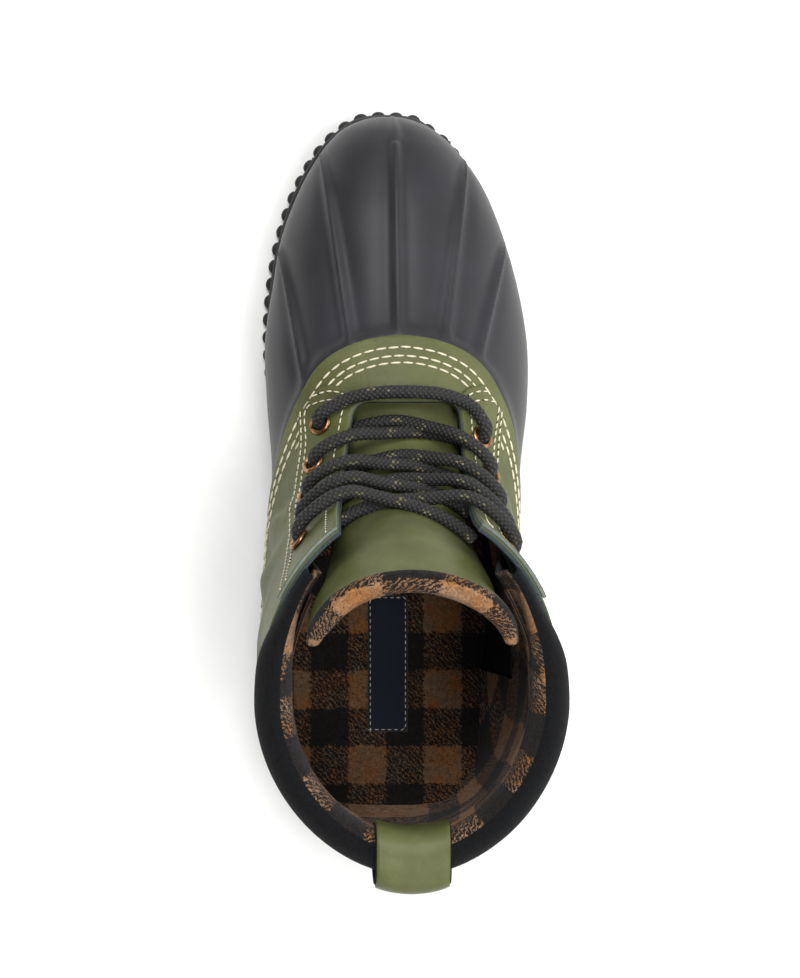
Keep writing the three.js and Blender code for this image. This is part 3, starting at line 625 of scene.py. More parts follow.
# the check with its nap up, and the same check in darker colours underfoot: painted shade of the boot's
# deep inside
wool = plaidWool("brushedWoolCheck", 15.5, "#8a6c52", "#855a34")
woolInShade = plaidWool("brushedWoolCheckPaintedShade", 15.5, "#65503c", "#734b29")
brass = antiqueBrass("stampedBrassAntique")
rope = braidedRope("braidedRopeFlecked")
# matt cream linen, painted shade for the pits where it goes in, and a close navy weave
thread = plainCloth("linenThreadCream", "#a8a287", "#e2dcc6", 3.0, 0.7, 0.5, 0.0002, 0.1)
needleHoleShade = plainCloth("needleHolePaintedShade", "#0c0d08", "#1b1c10", 2.0, 0.95, 0.2, 0.0002, 0.0)
navyLabel = plainCloth("wovenLabelNavy", "#10131f", "#1c2133", 3.0, 0.85, 0.4, 0.0002, 0.2)

# shell
print("shell")
shellSizes = dict(wall=3.0, ribHeight=2.5, ribWidth=2.3, hollow=1.1, hollowWidth=7.0, lipHeight=1.2,
                  lipWidth=3.0, lipDrop=2.6, tuck=0.8, intoSole=1.2, noseFrom=0.238, noseRounds=14)
soleSizes = dict(foreTop=10.0, heelTop=25.0, toeSpring=9.0, foreThick=10.5, heelRound=3.0, heelRoundRun=6.0)
heelFront, rampEnd, ballPlace, springPlace = along(0.235), along(0.27), along(0.49), along(0.79)


def toeLift(y):
    return np.clip((y - springPlace) / (along(1) - springPlace), 0, 1) ** 2 * soleSizes["toeSpring"]


def soleTop(y):
    ramped = smooth((ballPlace - y) / (ballPlace - rampEnd))
    return mix(soleSizes["foreTop"], soleSizes["heelTop"], ramped) + toeLift(y)


def ribRelief(s, angle, base):
    # straight ribs as seen from above, each between two soft hollows
    steep = np.clip(skinNormal(s, angle)[:, 2], 0.3, 1)
    total = np.zeros_like(s)
    for seamX, seamY, toeX, toeY in ribRows:
        start = np.array([seamX * ballWidth, along(seamY)])
        run = np.array([toeX * ballWidth, along(toeY)]) - start
        length = np.linalg.norm(run)
        run = run / length
        off = base[:, :2] - start
        t = (off @ run) / length
        away = np.abs(off[:, 0] * run[1] - off[:, 1] * run[0]) / steep
        ridge = shellSizes["ribHeight"] * np.exp(-(away / shellSizes["ribWidth"]) ** 2)
        valley = shellSizes["hollow"] * np.exp(-(away / shellSizes["hollowWidth"]) ** 2)
        total += (ridge - valley) * smooth((1.14 - t) * 6)
    return total * smooth(skinNormal(s, angle)[:, 2] * 4)


def shellOuter(s, angle, base):
    up = aboveSeam(base)
    lip = shellSizes["lipHeight"] * np.exp(-((up + shellSizes["lipDrop"]) / shellSizes["lipWidth"]) ** 2)
    tuck = smooth((up + 1.0) / 2.0) * shellSizes["tuck"]
    clearOfLip = smooth((-up - 3.0) / 4.0)
    relief = -(ribRelief(s, angle, base) * clearOfLip) - lip + tuck
    return np.where(s > 0.004, relief, 0.0)


def shellInner(s, angle, base):
    return np.full_like(s, shellSizes["wall"])


params, faces = skinGrid(0.0, 0.80, 190, 210)
params, faces, _ = cutGrid(params, faces, lambda p: -aboveSeam(p))
params, faces, _ = cutGrid(params, faces, lambda p: p[:, 2] - soleTop(p[:, 1]) + shellSizes["intoSole"])
shell = skinSheet("rubber_shell", params, faces, shellOuter, shellInner, [rubber])
closeUp(shell)
work = bmesh.new()
work.from_mesh(shell.data)
# the toe's tip is a soft round nose, drawn down to the sole
nose = [v for v in work.verts if v.co.y > shellSizes["noseFrom"] and not v.is_boundary]
for _ in range(shellSizes["noseRounds"]):
    bmesh.ops.smooth_vert(work, verts=nose, factor=0.5, use_axis_x=True, use_axis_y=True,
                          use_axis_z=True)
work.to_mesh(shell.data)
work.free()
addPiece(shell, "rubber", "shell")

# outsole
print("outsole")
outlineRows = [(0.000, -0.100, -0.040), (0.018, -0.300, 0.165), (0.060, -0.405, 0.262),
               (0.130, -0.448, 0.314), (0.240, -0.458, 0.326), (0.340, -0.462, 0.342),
               (0.450, -0.468, 0.386), (0.560, -0.492, 0.448), (0.650, -0.520, 0.462),
               (0.720, -0.520, 0.446), (0.790, -0.496, 0.412), (0.850, -0.455, 0.352),
               (0.900, -0.400, 0.290), (0.945, -0.325, 0.205), (0.975, -0.243, 0.110),
               (0.992, -0.150, 0.020)]


def soleOutline(count):
    outer = [(r[2] * ballWidth, along(r[0])) for r in outlineRows]
    inner = [(r[1] * ballWidth, along(r[0])) for r in reversed(outlineRows)]
    p = np.array(outer + inner)
    t = np.arange(count) / count * len(p)
    i = np.floor(t).astype(int)
    near = [p[(i + k) % len(p)] for k in (-1, 0, 1, 2)]
    line = evenCurve(*near, (t - i)[:, None])
    line = evenLine(np.vstack([line, line[:1]]), 1.6)[:-1]
    ahead = unit(np.roll(line, -1, 0) - np.roll(line, 1, 0))
    return line, np.stack([ahead[:, 1], -ahead[:, 0]], 1)


def soleFloor(y):
    heelEdge = (along(0) + soleSizes["heelRoundRun"] - y) / soleSizes["heelRoundRun"]
    heel = soleSizes["heelRound"] * np.clip(heelEdge, 0, 1) ** 2
    fore = np.maximum(0, soleTop(y) - toeLift(y) - soleSizes["foreThick"]) + toeLift(y)
    return np.where(y < heelFront, heel, fore)


sole = dict(treadDepth=3.4, pitch=7.0, linkGap=0.3, linkLength=5.9, linkWidth=4.4, lugInset=1.5)
line, outwards = soleOutline(900)
# side wall in rings from the welt down to the tread: share of the height, and how far it stands out
wallRings = [(1.0, -0.8), (1.0, 0.0), (0.82, 0.7), (0.45, 0.5), (0.2, 0.7), (0.0, 0.2)]
rings = []
for share, out in wallRings:
    z = mix(soleFloor(line[:, 1]) + sole["treadDepth"], soleTop(line[:, 1]), share)
    rings.append(np.column_stack([line + outwards * out, z]))
count = len(line)
verts = np.concatenate(rings)
faces = []
for r in range(len(rings) - 1):
    for c in range(count):
        a, b = r * count + c, r * count + (c + 1) % count
        faces.append((a, b, b + count, a + count))
outsole = newObject("outsole_rubber", verts, faces, [soleRubber])
work = bmesh.new()
work.from_mesh(outsole.data)
work.verts.ensure_lookup_table()
order = sorted(range(count), key=lambda c: line[c, 1])
low, high = order[0], order[-1]
sideA = [(low + k) % count for k in range((high - low) % count + 1)]
sideB = [(low - k) % count for k in range((low - high) % count + 1)]
for start in (0, len(rings) - 1):
    # top and underside are closed by strips across, from the two sides of the outline
    ring = [work.verts[start * count + c] for c in range(count)]
    i = j = 0
    while i < len(sideA) - 1 or j < len(sideB) - 1:
        nextA = line[sideA[i + 1], 1] if i < len(sideA) - 1 else 1e9
        nextB = line[sideB[j + 1], 1] if j < len(sideB) - 1 else 1e9
        if nextA <= nextB:
            corners = (ring[sideA[i]], ring[sideA[i + 1]], ring[sideB[j]])
            i += 1
        else:
            corners = (ring[sideA[i]], ring[sideB[j + 1]], ring[sideB[j]])
            j += 1
        if len(set(corners)) == 3:
            try:
                work.faces.new(corners)
            except ValueError:
                pass
bmesh.ops.recalc_face_normals(work, faces=work.faces)
work.to_mesh(outsole.data)
work.free()
outsole.data.polygons.foreach_set("use_smooth", [False] * len(outsole.data.polygons))
addPiece(outsole, "rubber", "outsole")


# geometry nodes: a small solid at even steps along a line
def rowTree(name, sides, rings):
    tree = bpy.data.node_groups.new(name, "GeometryNodeTree")
    face = tree.interface
    face.new_socket("Line", in_out="INPUT", socket_type="NodeSocketGeometry")
    for label, value in (("Pitch", 0.005), ("Length", 0.0036), ("Width", 0.001)):
        face.new_socket(label, in_out="INPUT", socket_type="NodeSocketFloat").default_value = value
    face.new_socket("Material", in_out="INPUT", socket_type="NodeSocketMaterial")
    face.new_socket("Row", in_out="OUTPUT", socket_type="NodeSocketGeometry")
    start = addNode(tree, "NodeGroupInput")
    end = addNode(tree, "NodeGroupOutput")
    curve = addNode(tree, "GeometryNodeMeshToCurve", {"Mesh": start.outputs["Line"]})
    even = addNode(tree, "GeometryNodeResampleCurve",
                   {"Curve": curve.outputs[0], "Length": start.outputs["Pitch"]}, mode="LENGTH")
    solid = addNode(tree, "GeometryNodeMeshUVSphere", {"Segments": sides, "Rings": rings, "Radius": 0.5})
    tangent = addNode(tree, "GeometryNodeInputTangent")
    turn = addNode(tree, "FunctionNodeAlignRotationToVector", {"Vector": tangent.outputs[0]}, axis="X")
    size = addNode(tree, "ShaderNodeCombineXYZ", {"X": start.outputs["Length"], "Y": start.outputs["Width"],
                                                  "Z": start.outputs["Width"]})
    many = addNode(tree, "GeometryNodeInstanceOnPoints",
                   {"Points": even.outputs[0], "Instance": solid.outputs[0],
                    "Rotation": turn.outputs[0], "Scale": size.outputs[0]})
    real = addNode(tree, "GeometryNodeRealizeInstances", {"Geometry": many.outputs[0]})
    shaded = addNode(tree, "GeometryNodeSetShadeSmooth", {"Geometry": real.outputs[0]})
    done = addNode(tree, "GeometryNodeSetMaterial", {"Geometry": shaded.outputs[0],
                                                     "Material": start.outputs["Material"]})
    tree.links.new(done.outputs[0], end.inputs["Row"])
    return tree


stitchTree = rowTree("stitchRow", 8, 6)
nubTree = rowTree("chainRow", 14, 9)


def rowAlong(name, lines, tree, material, pitch, length, width):
    # lines are lists of points in millimetres; the result is one plain mesh
    verts, edges = [], []
    for points in lines:
        start = len(verts)
        verts += [tuple(p / 1000) for p in points]
        edges += [(i, i + 1) for i in range(start, len(verts) - 1)]
    mesh = bpy.data.meshes.new(name + "_line")
    mesh.from_pydata(verts, edges, [])
    thing = bpy.data.objects.new(name, mesh)
    bpy.context.scene.collection.objects.link(thing)
    modifier = thing.modifiers.new("row", "NODES")
    modifier.node_group = tree
    wanted = {"Pitch": pitch / 1000, "Length": length / 1000, "Width": width / 1000, "Material": material}
    for item in tree.interface.items_tree:
        if item.in_out == "INPUT" and item.name in wanted:
            modifier[item.identifier] = wanted[item.name]
    thing.update_tag()
    bpy.context.view_layer.update()
    result = bpy.data.meshes.new_from_object(thing.evaluated_get(bpy.context.evaluated_depsgraph_get()))
    thing.modifiers.remove(modifier)
    thing.data = result
    result.name = name
    if not result.materials:
        result.materials.append(material)
    return thing


# chain tread: rounded links round the sole's edge
reach = np.where(line[:, 0] < -3, mix(-2.6, 0.35, smooth((line[:, 1] - 118) / 30)),
                 mix(-2.4, 0.2, smooth((line[:, 1] - 226) / 14)))
chain = line + outwards * reach[:, None]
chainLine = np.column_stack([chain, soleFloor(chain[:, 1]) + 2.7])
waist = along(0.36)
frontPart = chainLine[chainLine[:, 1] > waist]
frontChain = frontPart[np.argsort(np.arctan2(frontPart[:, 1] - waist, frontPart[:, 0] + 3))]
heelPart = chainLine[chainLine[:, 1] < heelFront - 1]
heelChain = heelPart[np.argsort(np.arctan2(heelFront - heelPart[:, 1], heelPart[:, 0]))]
nubs = rowAlong("chain_tread", [frontChain, heelChain], nubTree, soleRubber,
                sole["pitch"] + sole["linkGap"], sole["linkLength"], sole["linkWidth"])
addPiece(nubs, "rubber")

# lugs under the sole
bars, barFaces = [], []
# profile of a lug: along the sole, and up from the floor
profile = [(-2.9, 4.4), (-2.3, 0.9), (-1.7, 0.0), (1.7, 0.0), (2.3, 0.9), (2.9, 4.4)]
steps = 10
for k in range(-6, 40):
    y = k * sole["pitch"]
    if not along(0.02) < y < along(0.975) or heelFront - 2.3 < y < along(0.41):
        continue
    near = np.abs(line[:, 1] - y) < 2.0
    left, right = line[near, 0].min() + sole["lugInset"], line[near, 0].max() - sole["lugInset"]
    start = len(bars)
    for i in range(steps + 1):
        x = mix(left, right, i / steps)
        for dy, dz in profile:
            bars.append((x, y + dy, float(soleFloor(np.array(y))) + dz))
    n = len(profile)
    for i in range(steps):
        for j in range(n):
            a, b = start + i * n + j, start + i * n + (j + 1) % n
            barFaces.append((a, b, b + n, a + n))
    barFaces.append(tuple(start + j for j in reversed(range(n))))
    barFaces.append(tuple(start + steps * n + j for j in range(n)))
lugs = newObject("tread_lugs", bars, barFaces, [soleRubber], flat=True)
closeUp(lugs)
addPiece(lugs, "rubber")

# leather shaft
print("shaft")
shaft = dict(wall=2.4, overlap=2.2, lift=1.35, creaseDepth=1.8, creaseWidth=1.25)
creases = [
    # s, angle, spread of the angle, width in s, depth in mm
    (0.600, 1.20, 0.26, 0.016, 1.9), (0.640, 1.42, 0.30, 0.018, 2.1), (0.690, 1.62, 0.34, 0.020, 2.0),
    (0.750, 1.80, 0.36, 0.022, 1.6), (0.820, 1.66, 0.30, 0.020, 1.1),
    (0.610, -1.22, 0.26, 0.016, 2.0), (0.655, -1.46, 0.32, 0.018, 2.2), (0.705, -1.70, 0.34, 0.020, 2.0),
    (0.770, -1.86, 0.36, 0.022, 1.5), (0.840, -1.62, 0.26, 0.018, 1.0),
    (0.830, 2.35, 0.35, 0.020, 1.0), (0.860, -2.40, 0.35, 0.020, 1.0), (0.720, 2.75, 0.40, 0.018, 0.9),
]


def shaftRelief(s, angle):
    total = np.zeros_like(s)
    for place, turn, spread, width, depth in creases:
        wave = (s - place - 0.02 * np.sin((angle - turn) * 4)) / (shaft["creaseWidth"] * width)
        fade = np.exp(-((angle - turn) / spread) ** 2)
        total += shaft["creaseDepth"] * depth * fade * (wave * np.exp(-wave ** 2))
    return total


def seamLift(base):
    return shaft["lift"] * (1 - smooth((aboveSeam(base) + shaft["overlap"]) / 14.0))


def shaftFolds(s, angle, base):
    # the folds die out at the seam and at the topline, where the edges are held
    return shaftRelief(s, angle) * smooth((aboveSeam(base) - 5) / 14) * smooth((underTopline(base) - 1) / 8)


def shaftOuter(s, angle, base):
    return -seamLift(base) - shaftFolds(s, angle, base)


def shaftInner(s, angle, base):
    up = aboveSeam(base) + shaft["overlap"]
    return mix(-0.15, shaft["wall"], smooth(up / 9.0)) - shaftFolds(s, angle, base)


skinMesh = skinGrid(0.36, 0.97, 190, 250)
params, faces, _ = cutGrid(*skinMesh, lambda p: aboveSeam(p) + shaft["overlap"])
params, faces, _ = cutGrid(params, faces, underTopline)
params, faces, _ = cutGrid(params, faces, offThroat)
upper = skinSheet("leather_shaft", params, faces, shaftOuter, shaftInner, [leather, bondedEdge], rimSlot=1,
                  innerSlot=1)
closeUp(upper)
addPiece(upper, "leather", "upper")

# eyestays
print("eyestays")
stay = dict(thick=1.35, gap=0.25, bed=0.1)


def stayOuter(s, angle, base):
    return shaftOuter(s, angle, base) - stay["gap"] - stay["thick"]


def stayInner(s, angle, base):
    return shaftOuter(s, angle, base) - stay["bed"]


for side, label in ((-1, "inner"), (1, "outer")):
    def onSide(p):
        return np.where(side * (p[:, 0] - throatMiddle(p[:, 1])) > 0, inEyestay(p), -5.0)

    params, faces, _ = cutGrid(*skinMesh, onSide)
    for field in (underTopline, offThroat, lambda p: aboveSeam(p) - 3):
        params, faces, _ = cutGrid(params, faces, field)
    overlay = skinSheet("leather_eyestay_" + label, params, faces, stayOuter, stayInner,
                        [leather, rawEdge], rimSlot=1)
    closeUp(overlay)
    addPiece(overlay, "leather", "eyestay_" + label)

# stitching
print("stitches")
seamParams = traceLine(aboveSeam, 0.0, skinMesh)
seamPoints = np.concatenate([lastPoint(part[:, 0], part[:, 1]) for part in seamParams])[::2]


def fromSeam(p):
    # distance to the seam, negative under it
    out = np.empty(len(p))
    for i in range(0, len(p), 4000):
        part = p[i:i + 4000]
        out[i:i + 4000] = np.sqrt(((part[:, None, :] - seamPoints[None]) ** 2).sum(-1)).min(1)
    return np.where(aboveSeam(p) > 0, out, -out)


stitch = dict(pitch=4.9, length=4.5, width=0.9, fine=3.2, fineLength=2.7, fineWidth=0.7,
              holeLength=1.5, holeWidth=0.95, stand=0.12)
# distances of the rows: from the seam, from the throat's edge and from the eyestay's rear edge
sewnAt = dict(seam=(2.6, 6.0), apron=8.7, throat=3.0, rear=(1.8, 4.6))
heavySewing = (stitch["pitch"], stitch["length"], stitch["width"])
fineSewing = (stitch["fine"], stitch["fineLength"], stitch["fineWidth"])


def liftedLines(lines, outer, lift):
    made = []
    for points in lines:
        s, angle = points[:, 0], points[:, 1]
        inset = outer(s, angle, lastPoint(s, angle)) - lift
        made.append(evenLine(skinPoint(s, angle, inset), 1.2))
    return made


def stitchRows(name, lines, outer, pitch, length, width):
    # the needle holes, dark blobs of painted shade, lie lower and half a stitch on
    holes = []
    for points in liftedLines(lines, outer, -stitch["stand"]):
        keep = distances(points) > pitch / 2
        if keep.sum() > 3:
            holes.append(points[keep])
    sewn = liftedLines(lines, outer, stitch["stand"])
    addPiece(rowAlong(name, sewn, stitchTree, thread, pitch, length, width), "cord")
    addPiece(rowAlong(name + "_holes", holes, stitchTree, needleHoleShade, pitch, stitch["holeLength"],
                      stitch["holeWidth"]), "cord")


def onShaft(p):
    return (offThroat(p) > 2.5) & (underTopline(p) > 1.5)


def onApron(p):
    return (offThroat(p) > 2.2) & (underTopline(p) > 1.5) & (p[:, 1] > throatLow - 18)


def onStay(p):
    return (inEyestay(p) > 1.2) & (aboveSeam(p) > 3) & (underTopline(p) > 2)


def behindThroat(p):
    return (offThroat(p) > 3.2) & (underTopline(p) > 2) & (aboveSeam(p) > 3)


seamRows = []
for away in sewnAt["seam"]:
    seamRows += traceLine(fromSeam, away, skinMesh, keep=onShaft)
stitchRows("seam_stitches", seamRows, shaftOuter, *heavySewing)
thirdRow = traceLine(fromSeam, sewnAt["apron"], skinMesh, keep=onApron)
stitchRows("apron_stitches", thirdRow, shaftOuter, *heavySewing)
throatRow = traceLine(offThroat, sewnAt["throat"], skinMesh, keep=onStay)
stitchRows("throat_stitches", throatRow, stayOuter, *fineSewing)
rearRows = []
for away in sewnAt["rear"]:
    rearRows += traceLine(inEyestay, away, skinMesh, keep=behindThroat)
stitchRows("eyestay_stitches", rearRows, stayOuter, *fineSewing)

# eyelets
print("eyelets")
eyelet = dict(rows=5, bore=3.15, flange=4.9, seat=2.3, inner=(0.507, 0.783), outer=(0.531, 0.765),
              apartLow=30.5, apartTop=39.5)
# turned profile: radius, and height over the leather
eyeletProfile = [(3.0, -4.0), (3.0, -1.0), (3.05, 0.4), (3.35, 0.9), (3.85, 1.15), (4.4, 1.0),
                 (4.8, 0.55), (4.9, 0.05), (4.75, -0.3), (3.7, -0.3), (3.6, -4.0)]
eyeletMiddle = float(throatMiddle(throatTop)) + 0.4


def eyeletPlace(side, row):
    t = row / (eyelet["rows"] - 1)
    s = mix(*eyelet["inner" if side < 0 else "outer"], t)
    half = mix(eyelet["apartLow"], eyelet["apartTop"], 1 - (1 - t) ** 1.3)
    return s, float(angleAtX(s, eyeletMiddle + side * half))


def eyeletSeat(side, row):
    s, angle = eyeletPlace(side, row)
    return skinPoint(s, angle, -eyelet["seat"]), skinNormal(s, angle)


def turnedRing(seat, outward, profile, steps=40):
    axis = unit(outward)
    sideways = unit(np.cross(axis, [0.0, 0.0, 1.0]))
    onward = np.cross(axis, sideways)
    verts, faces = [], []
    for i in range(steps):
        turn = 2 * math.pi * i / steps
        for r, h in profile:
            ray = sideways * math.cos(turn) + onward * math.sin(turn)
            verts.append(seat + ray * r + axis * h)
    count = len(profile)
    for i in range(steps):
        for j in range(count):
            here, ahead, after = i * count, (i + 1) % steps * count, (j + 1) % count
            faces.append((here + j, ahead + j, ahead + after, here + after))
    return verts, faces


for side, label in ((-1, "inner"), (1, "outer")):
    for row in range(eyelet["rows"]):
        seat, outward = eyeletSeat(side, row)
        verts, faces = turnedRing(seat, outward, eyeletProfile)
        ring = newObject("brass_eyelet_%s_%d" % (label, row + 1), verts, faces, [brass])
        closeUp(ring)
        addPiece(ring, "brass", "eyelet_%s_%d" % (label, row + 1))

# laces
print("laces")
lace = dict(radius=2.6, slack=1.6, plies=12, turn=1.1, loosened=150)
clearance = 0.35
tongueDepth = 5.2
tongueInset = shaft["wall"] + tongueDepth + 3 * clearance + lace["slack"]
onTongue = tongueInset - lace["radius"] - 0.25
overStay = -clearance - 1.4 - lace["radius"] - 2 * clearance
# eyelet row, side of its eyelet, and where the strand lies under the other one and at the middle
strandRows = [(1, 1, 0.497, 0.488), (1, -1, 0.515, 0.507), (2, 1, 0.572, 0.549), (2, -1, 0.590, 0.569),
              (3, 1, 0.626, 0.603), (3, -1, 0.648, 0.627), (4, 1, 0.712, 0.684), (4, -1, 0.760, 0.702)]


def onSkin(s, x, inset):
    return skinPoint(s, angleAtX(s, x), inset)


def eyeletBend(side, row, source):
    seat, outward = eyeletSeat(side, row)
    inward = source - seat
    inward = unit(inward - outward * inward.dot(outward))
    radius = (eyelet["bore"] + eyelet["flange"]) / 2
    middle = seat + inward * radius + outward * 0.3
    bend = [middle - inward * radius * math.cos(t * math.pi / 2)
            + outward * (radius + 0.1) * math.sin(t * math.pi / 2) for t in (1.1, 0.75, 0.4, 0.05)]
    return bend + [seat - outward * 2.0, seat - outward * 4.5]


def smoothPath(points, step=0.8):
    p = np.array(points)
    out = []
    for i in range(len(p) - 1):
        near = [p[min(len(p) - 1, max(0, i + k))] for k in (-1, 0, 1, 2)]
        for w in np.linspace(0, 1, 12, endpoint=False):
            out.append(evenCurve(*near, w))
    out.append(p[-1])
    return evenLine(np.array(out), step)


def relaxed(path, times):
    # a rope hangs in even curves: each point moves towards its neighbours' middle
    path = path.copy()
    hold = np.ones(len(path))
    hold[:8] = 0.2
    hold[-16:] = np.linspace(0.6, 0.0, 16)
    hold[0] = 0
    for _ in range(times):
        path[1:-1] += 0.5 * hold[1:-1, None] * ((path[:-2] + path[2:]) / 2 - path[1:-1])
    return path


def ropeTube(name, path, radius, sides=24):
    across = np.array([0.0, 0.0, 1.0])
    verts, uvs, faces = [], [], []
    place = 0.0
    for i, p in enumerate(path):
        ahead = unit(path[min(len(path) - 1, i + 1)] - path[max(0, i - 1)])
        across = unit(across - ahead * across.dot(ahead))
        up = np.cross(ahead, across)
        if i:
            place += float(np.linalg.norm(p - path[i - 1]))
        for k in range(sides + 1):
            turn = 2 * math.pi * k / sides
            # crossing strands raise the rope's outline a little
            left = abs((lace["plies"] * k / sides + place / lace["turn"]) % 2 - 1)
            right = abs((-lace["plies"] * k / sides + place / lace["turn"]) % 2 - 1)
            r = radius * (0.95 + 0.14 * left * right)
            verts.append(p + across * r * math.cos(turn) + up * r * math.sin(turn))
            uvs.append((place / lace["turn"], k / sides))
    ring = sides + 1
    for i in range(len(path) - 1):
        for k in range(sides):
            a = i * ring + k
            faces.append((a, a + 1, a + 1 + ring, a + ring))
    for end, flip in ((0, True), (len(path) - 1, False)):
        tip = len(verts)
        verts.append(path[end])
        uvs.append((0, 0))
        for k in range(sides):
            a, b = end * ring + k, end * ring + k + 1
            faces.append((b, a, tip) if flip else (a, b, tip))
    return newObject(name, verts, faces, [rope], uvs)


def strandPath(row, side, underAt, middleAt):
    end = eyeletPlace(side, row)[0]
    path = [
        onSkin(underAt + 0.012, throatEdge(underAt, -side, 5.5), onTongue - 0.2),
        onSkin(mix(underAt, middleAt, 0.3), throatEdge(underAt, -side, -5), onTongue),
        onSkin(middleAt, throatEdge(middleAt, side, -21.0), onTongue - 0.3),
        onSkin(mix(middleAt, end, 0.22), throatEdge(middleAt, side, -12), onTongue - 2.6),
        onSkin(mix(middleAt, end, 0.45), throatEdge(middleAt, side, -5.4), -4.0),
        onSkin(mix(middleAt, end, 0.7), throatEdge(end, side, 0.8), overStay - 0.7),
    ]
    return path + eyeletBend(side, row, path[-1])


for row, side, underAt, middleAt in strandRows:
    path = relaxed(smoothPath(strandPath(row, side, underAt, middleAt)), lace["loosened"])
    strand = ropeTube("rope_lace_%d_%s" % (row, "over" if side > 0 else "under"), path, lace["radius"])
    closeUp(strand, 1e-6)
    addPiece(strand, "cord", "lace_cross_%d" % row)

barAt = 0.464
# the bar from side to side: step along the skin, side, and reach past the throat's edge
barRoute = [(0.012, -1, 2), (0.002, -1, -8), (0.0, 1, -21.0), (0.004, 1, -8), (0.02, 1, 2)]
barPath = [onSkin(barAt + on, throatEdge(barAt, side, past), overStay) for on, side, past in barRoute]
bar = eyeletBend(-1, 0, barPath[0])[::-1] + barPath + eyeletBend(1, 0, barPath[-1])
barRope = ropeTube("rope_lace_bar", smoothPath(bar), lace["radius"])
closeUp(barRope, 1e-6)
addPiece(barRope, "cord", "lace_bar")

# tongue
print("tongue")
tongue = dict(wall=4.5, topWall=9.5, width=79.0, wrap=27.0, height=173.5)


def tonguePoint(t, u):
    s = mix(0.437, 0.80, np.minimum(1, t / 0.72))
    half = mix(throat["halfLow"] + 5, tongue["width"] / 2 - 2, smooth(t * 1.2))
    angle = angleAtX(s, throatMiddle(lastPoint(s, 0.0)[..., 1]) + u * half)
    low = skinPoint(s, angle, np.full_like(s, tongueInset))
    turn = u * math.pi / 2
    top = np.stack([float(throatMiddle(throatTop)) + tongue["width"] / 2 * np.sin(turn),
                    along(0.384) - tongue["wrap"] * (1 - np.cos(turn)),
                    tongue["height"] - 7 * np.abs(u) ** 2], -1)
    w = (smooth((t - 0.5) / 0.62) / smooth(0.5 / 0.62))[..., None]
    return low * (1 - w) + top * w


rows, columns = 90, 72
t, u = np.meshgrid(np.linspace(0, 1, rows), np.linspace(-1, 1, columns), indexing="ij")
outer = tonguePoint(t, u)
alongIt = tonguePoint(t + 1e-3, u) - tonguePoint(t - 1e-3, u)
acrossIt = tonguePoint(t, u + 1e-3) - tonguePoint(t, u - 1e-3)
normal = unit(np.cross(acrossIt, alongIt))
wall = mix(tongue["wall"], tongue["topWall"], smooth((t - 0.75) / 0.25)) * (1 - 0.45 * np.abs(u) ** 4)
# soft folds of the padded leather
fold = 0.9 * np.sin(t * 19 + u * 2.2) * smooth((t - 0.55) * 4) * np.exp(-((np.abs(u) - 0.8) / 0.35) ** 2)
outer = outer - normal * fold[..., None]
inner = outer + normal * wall[..., None]
# outer leather, then a round padded end, then the wool inside
mid = (outer[-1] + inner[-1]) / 2
ray = (outer[-1] - inner[-1]) / 2
bulge = unit(alongIt[-1]) * np.linalg.norm(ray, axis=-1, keepdims=True) * 0.8
ends = [mid + ray * math.cos(math.pi * k / 8) + bulge * math.sin(math.pi * k / 8) for k in range(1, 8)]
grid = np.concatenate([outer, np.array(ends), inner[::-1]])
total = len(grid)
verts = grid.reshape(-1, 3)
rowPlace = distances(grid[:, columns // 2])
uvs = np.stack([np.broadcast_to(np.linspace(-42, 42, columns), (total, columns)),
                np.broadcast_to(rowPlace[:, None], (total, columns))], -1).reshape(-1, 2)
faces, slots = [], []
for r in range(total):
    for c in range(columns - 1):
        a, b = r * columns + c, ((r + 1) % total) * columns + c
        faces.append((a, a + 1, b + 1, b))
        slots.append(0 if r < rows - 1 else 1)
for c in (0, columns - 1):
    # sides: a thin wall between leather and wool
    for r in range(rows - 1):
        a, b = r * columns + c, (r + 1) * columns + c
        d, e = (total - 1 - r) * columns + c, (total - 2 - r) * columns + c
        faces.append((a, b, e, d) if c == 0 else (b, a, d, e))
        slots.append(2)
    faces.append(tuple(r * columns + c for r in range(rows - 1, total - rows + 1)))
    slots.append(2)
pad = newObject("leather_tongue", verts, faces, [leather, wool, bondedEdge], uvs, slots)
closeUp(pad)
addPiece(pad, "leather", "tongue")

# collar cuff and lining
print("collar")
cuff = dict(top=0.945, thick=11.5, front=0.80, feltShare=0.62)
columns = 150
liningRows = dict(low=0.40, eased=0.80, rolled=0.90)


def liningInset(s):
    # the lining lies close to the leather low down and over the cuff's padding near the top
    padded = (s - liningRows["eased"]) / (liningRows["rolled"] - liningRows["eased"])
    return mix(5.6, cuff["thick"] - 0.6, smooth(padded))


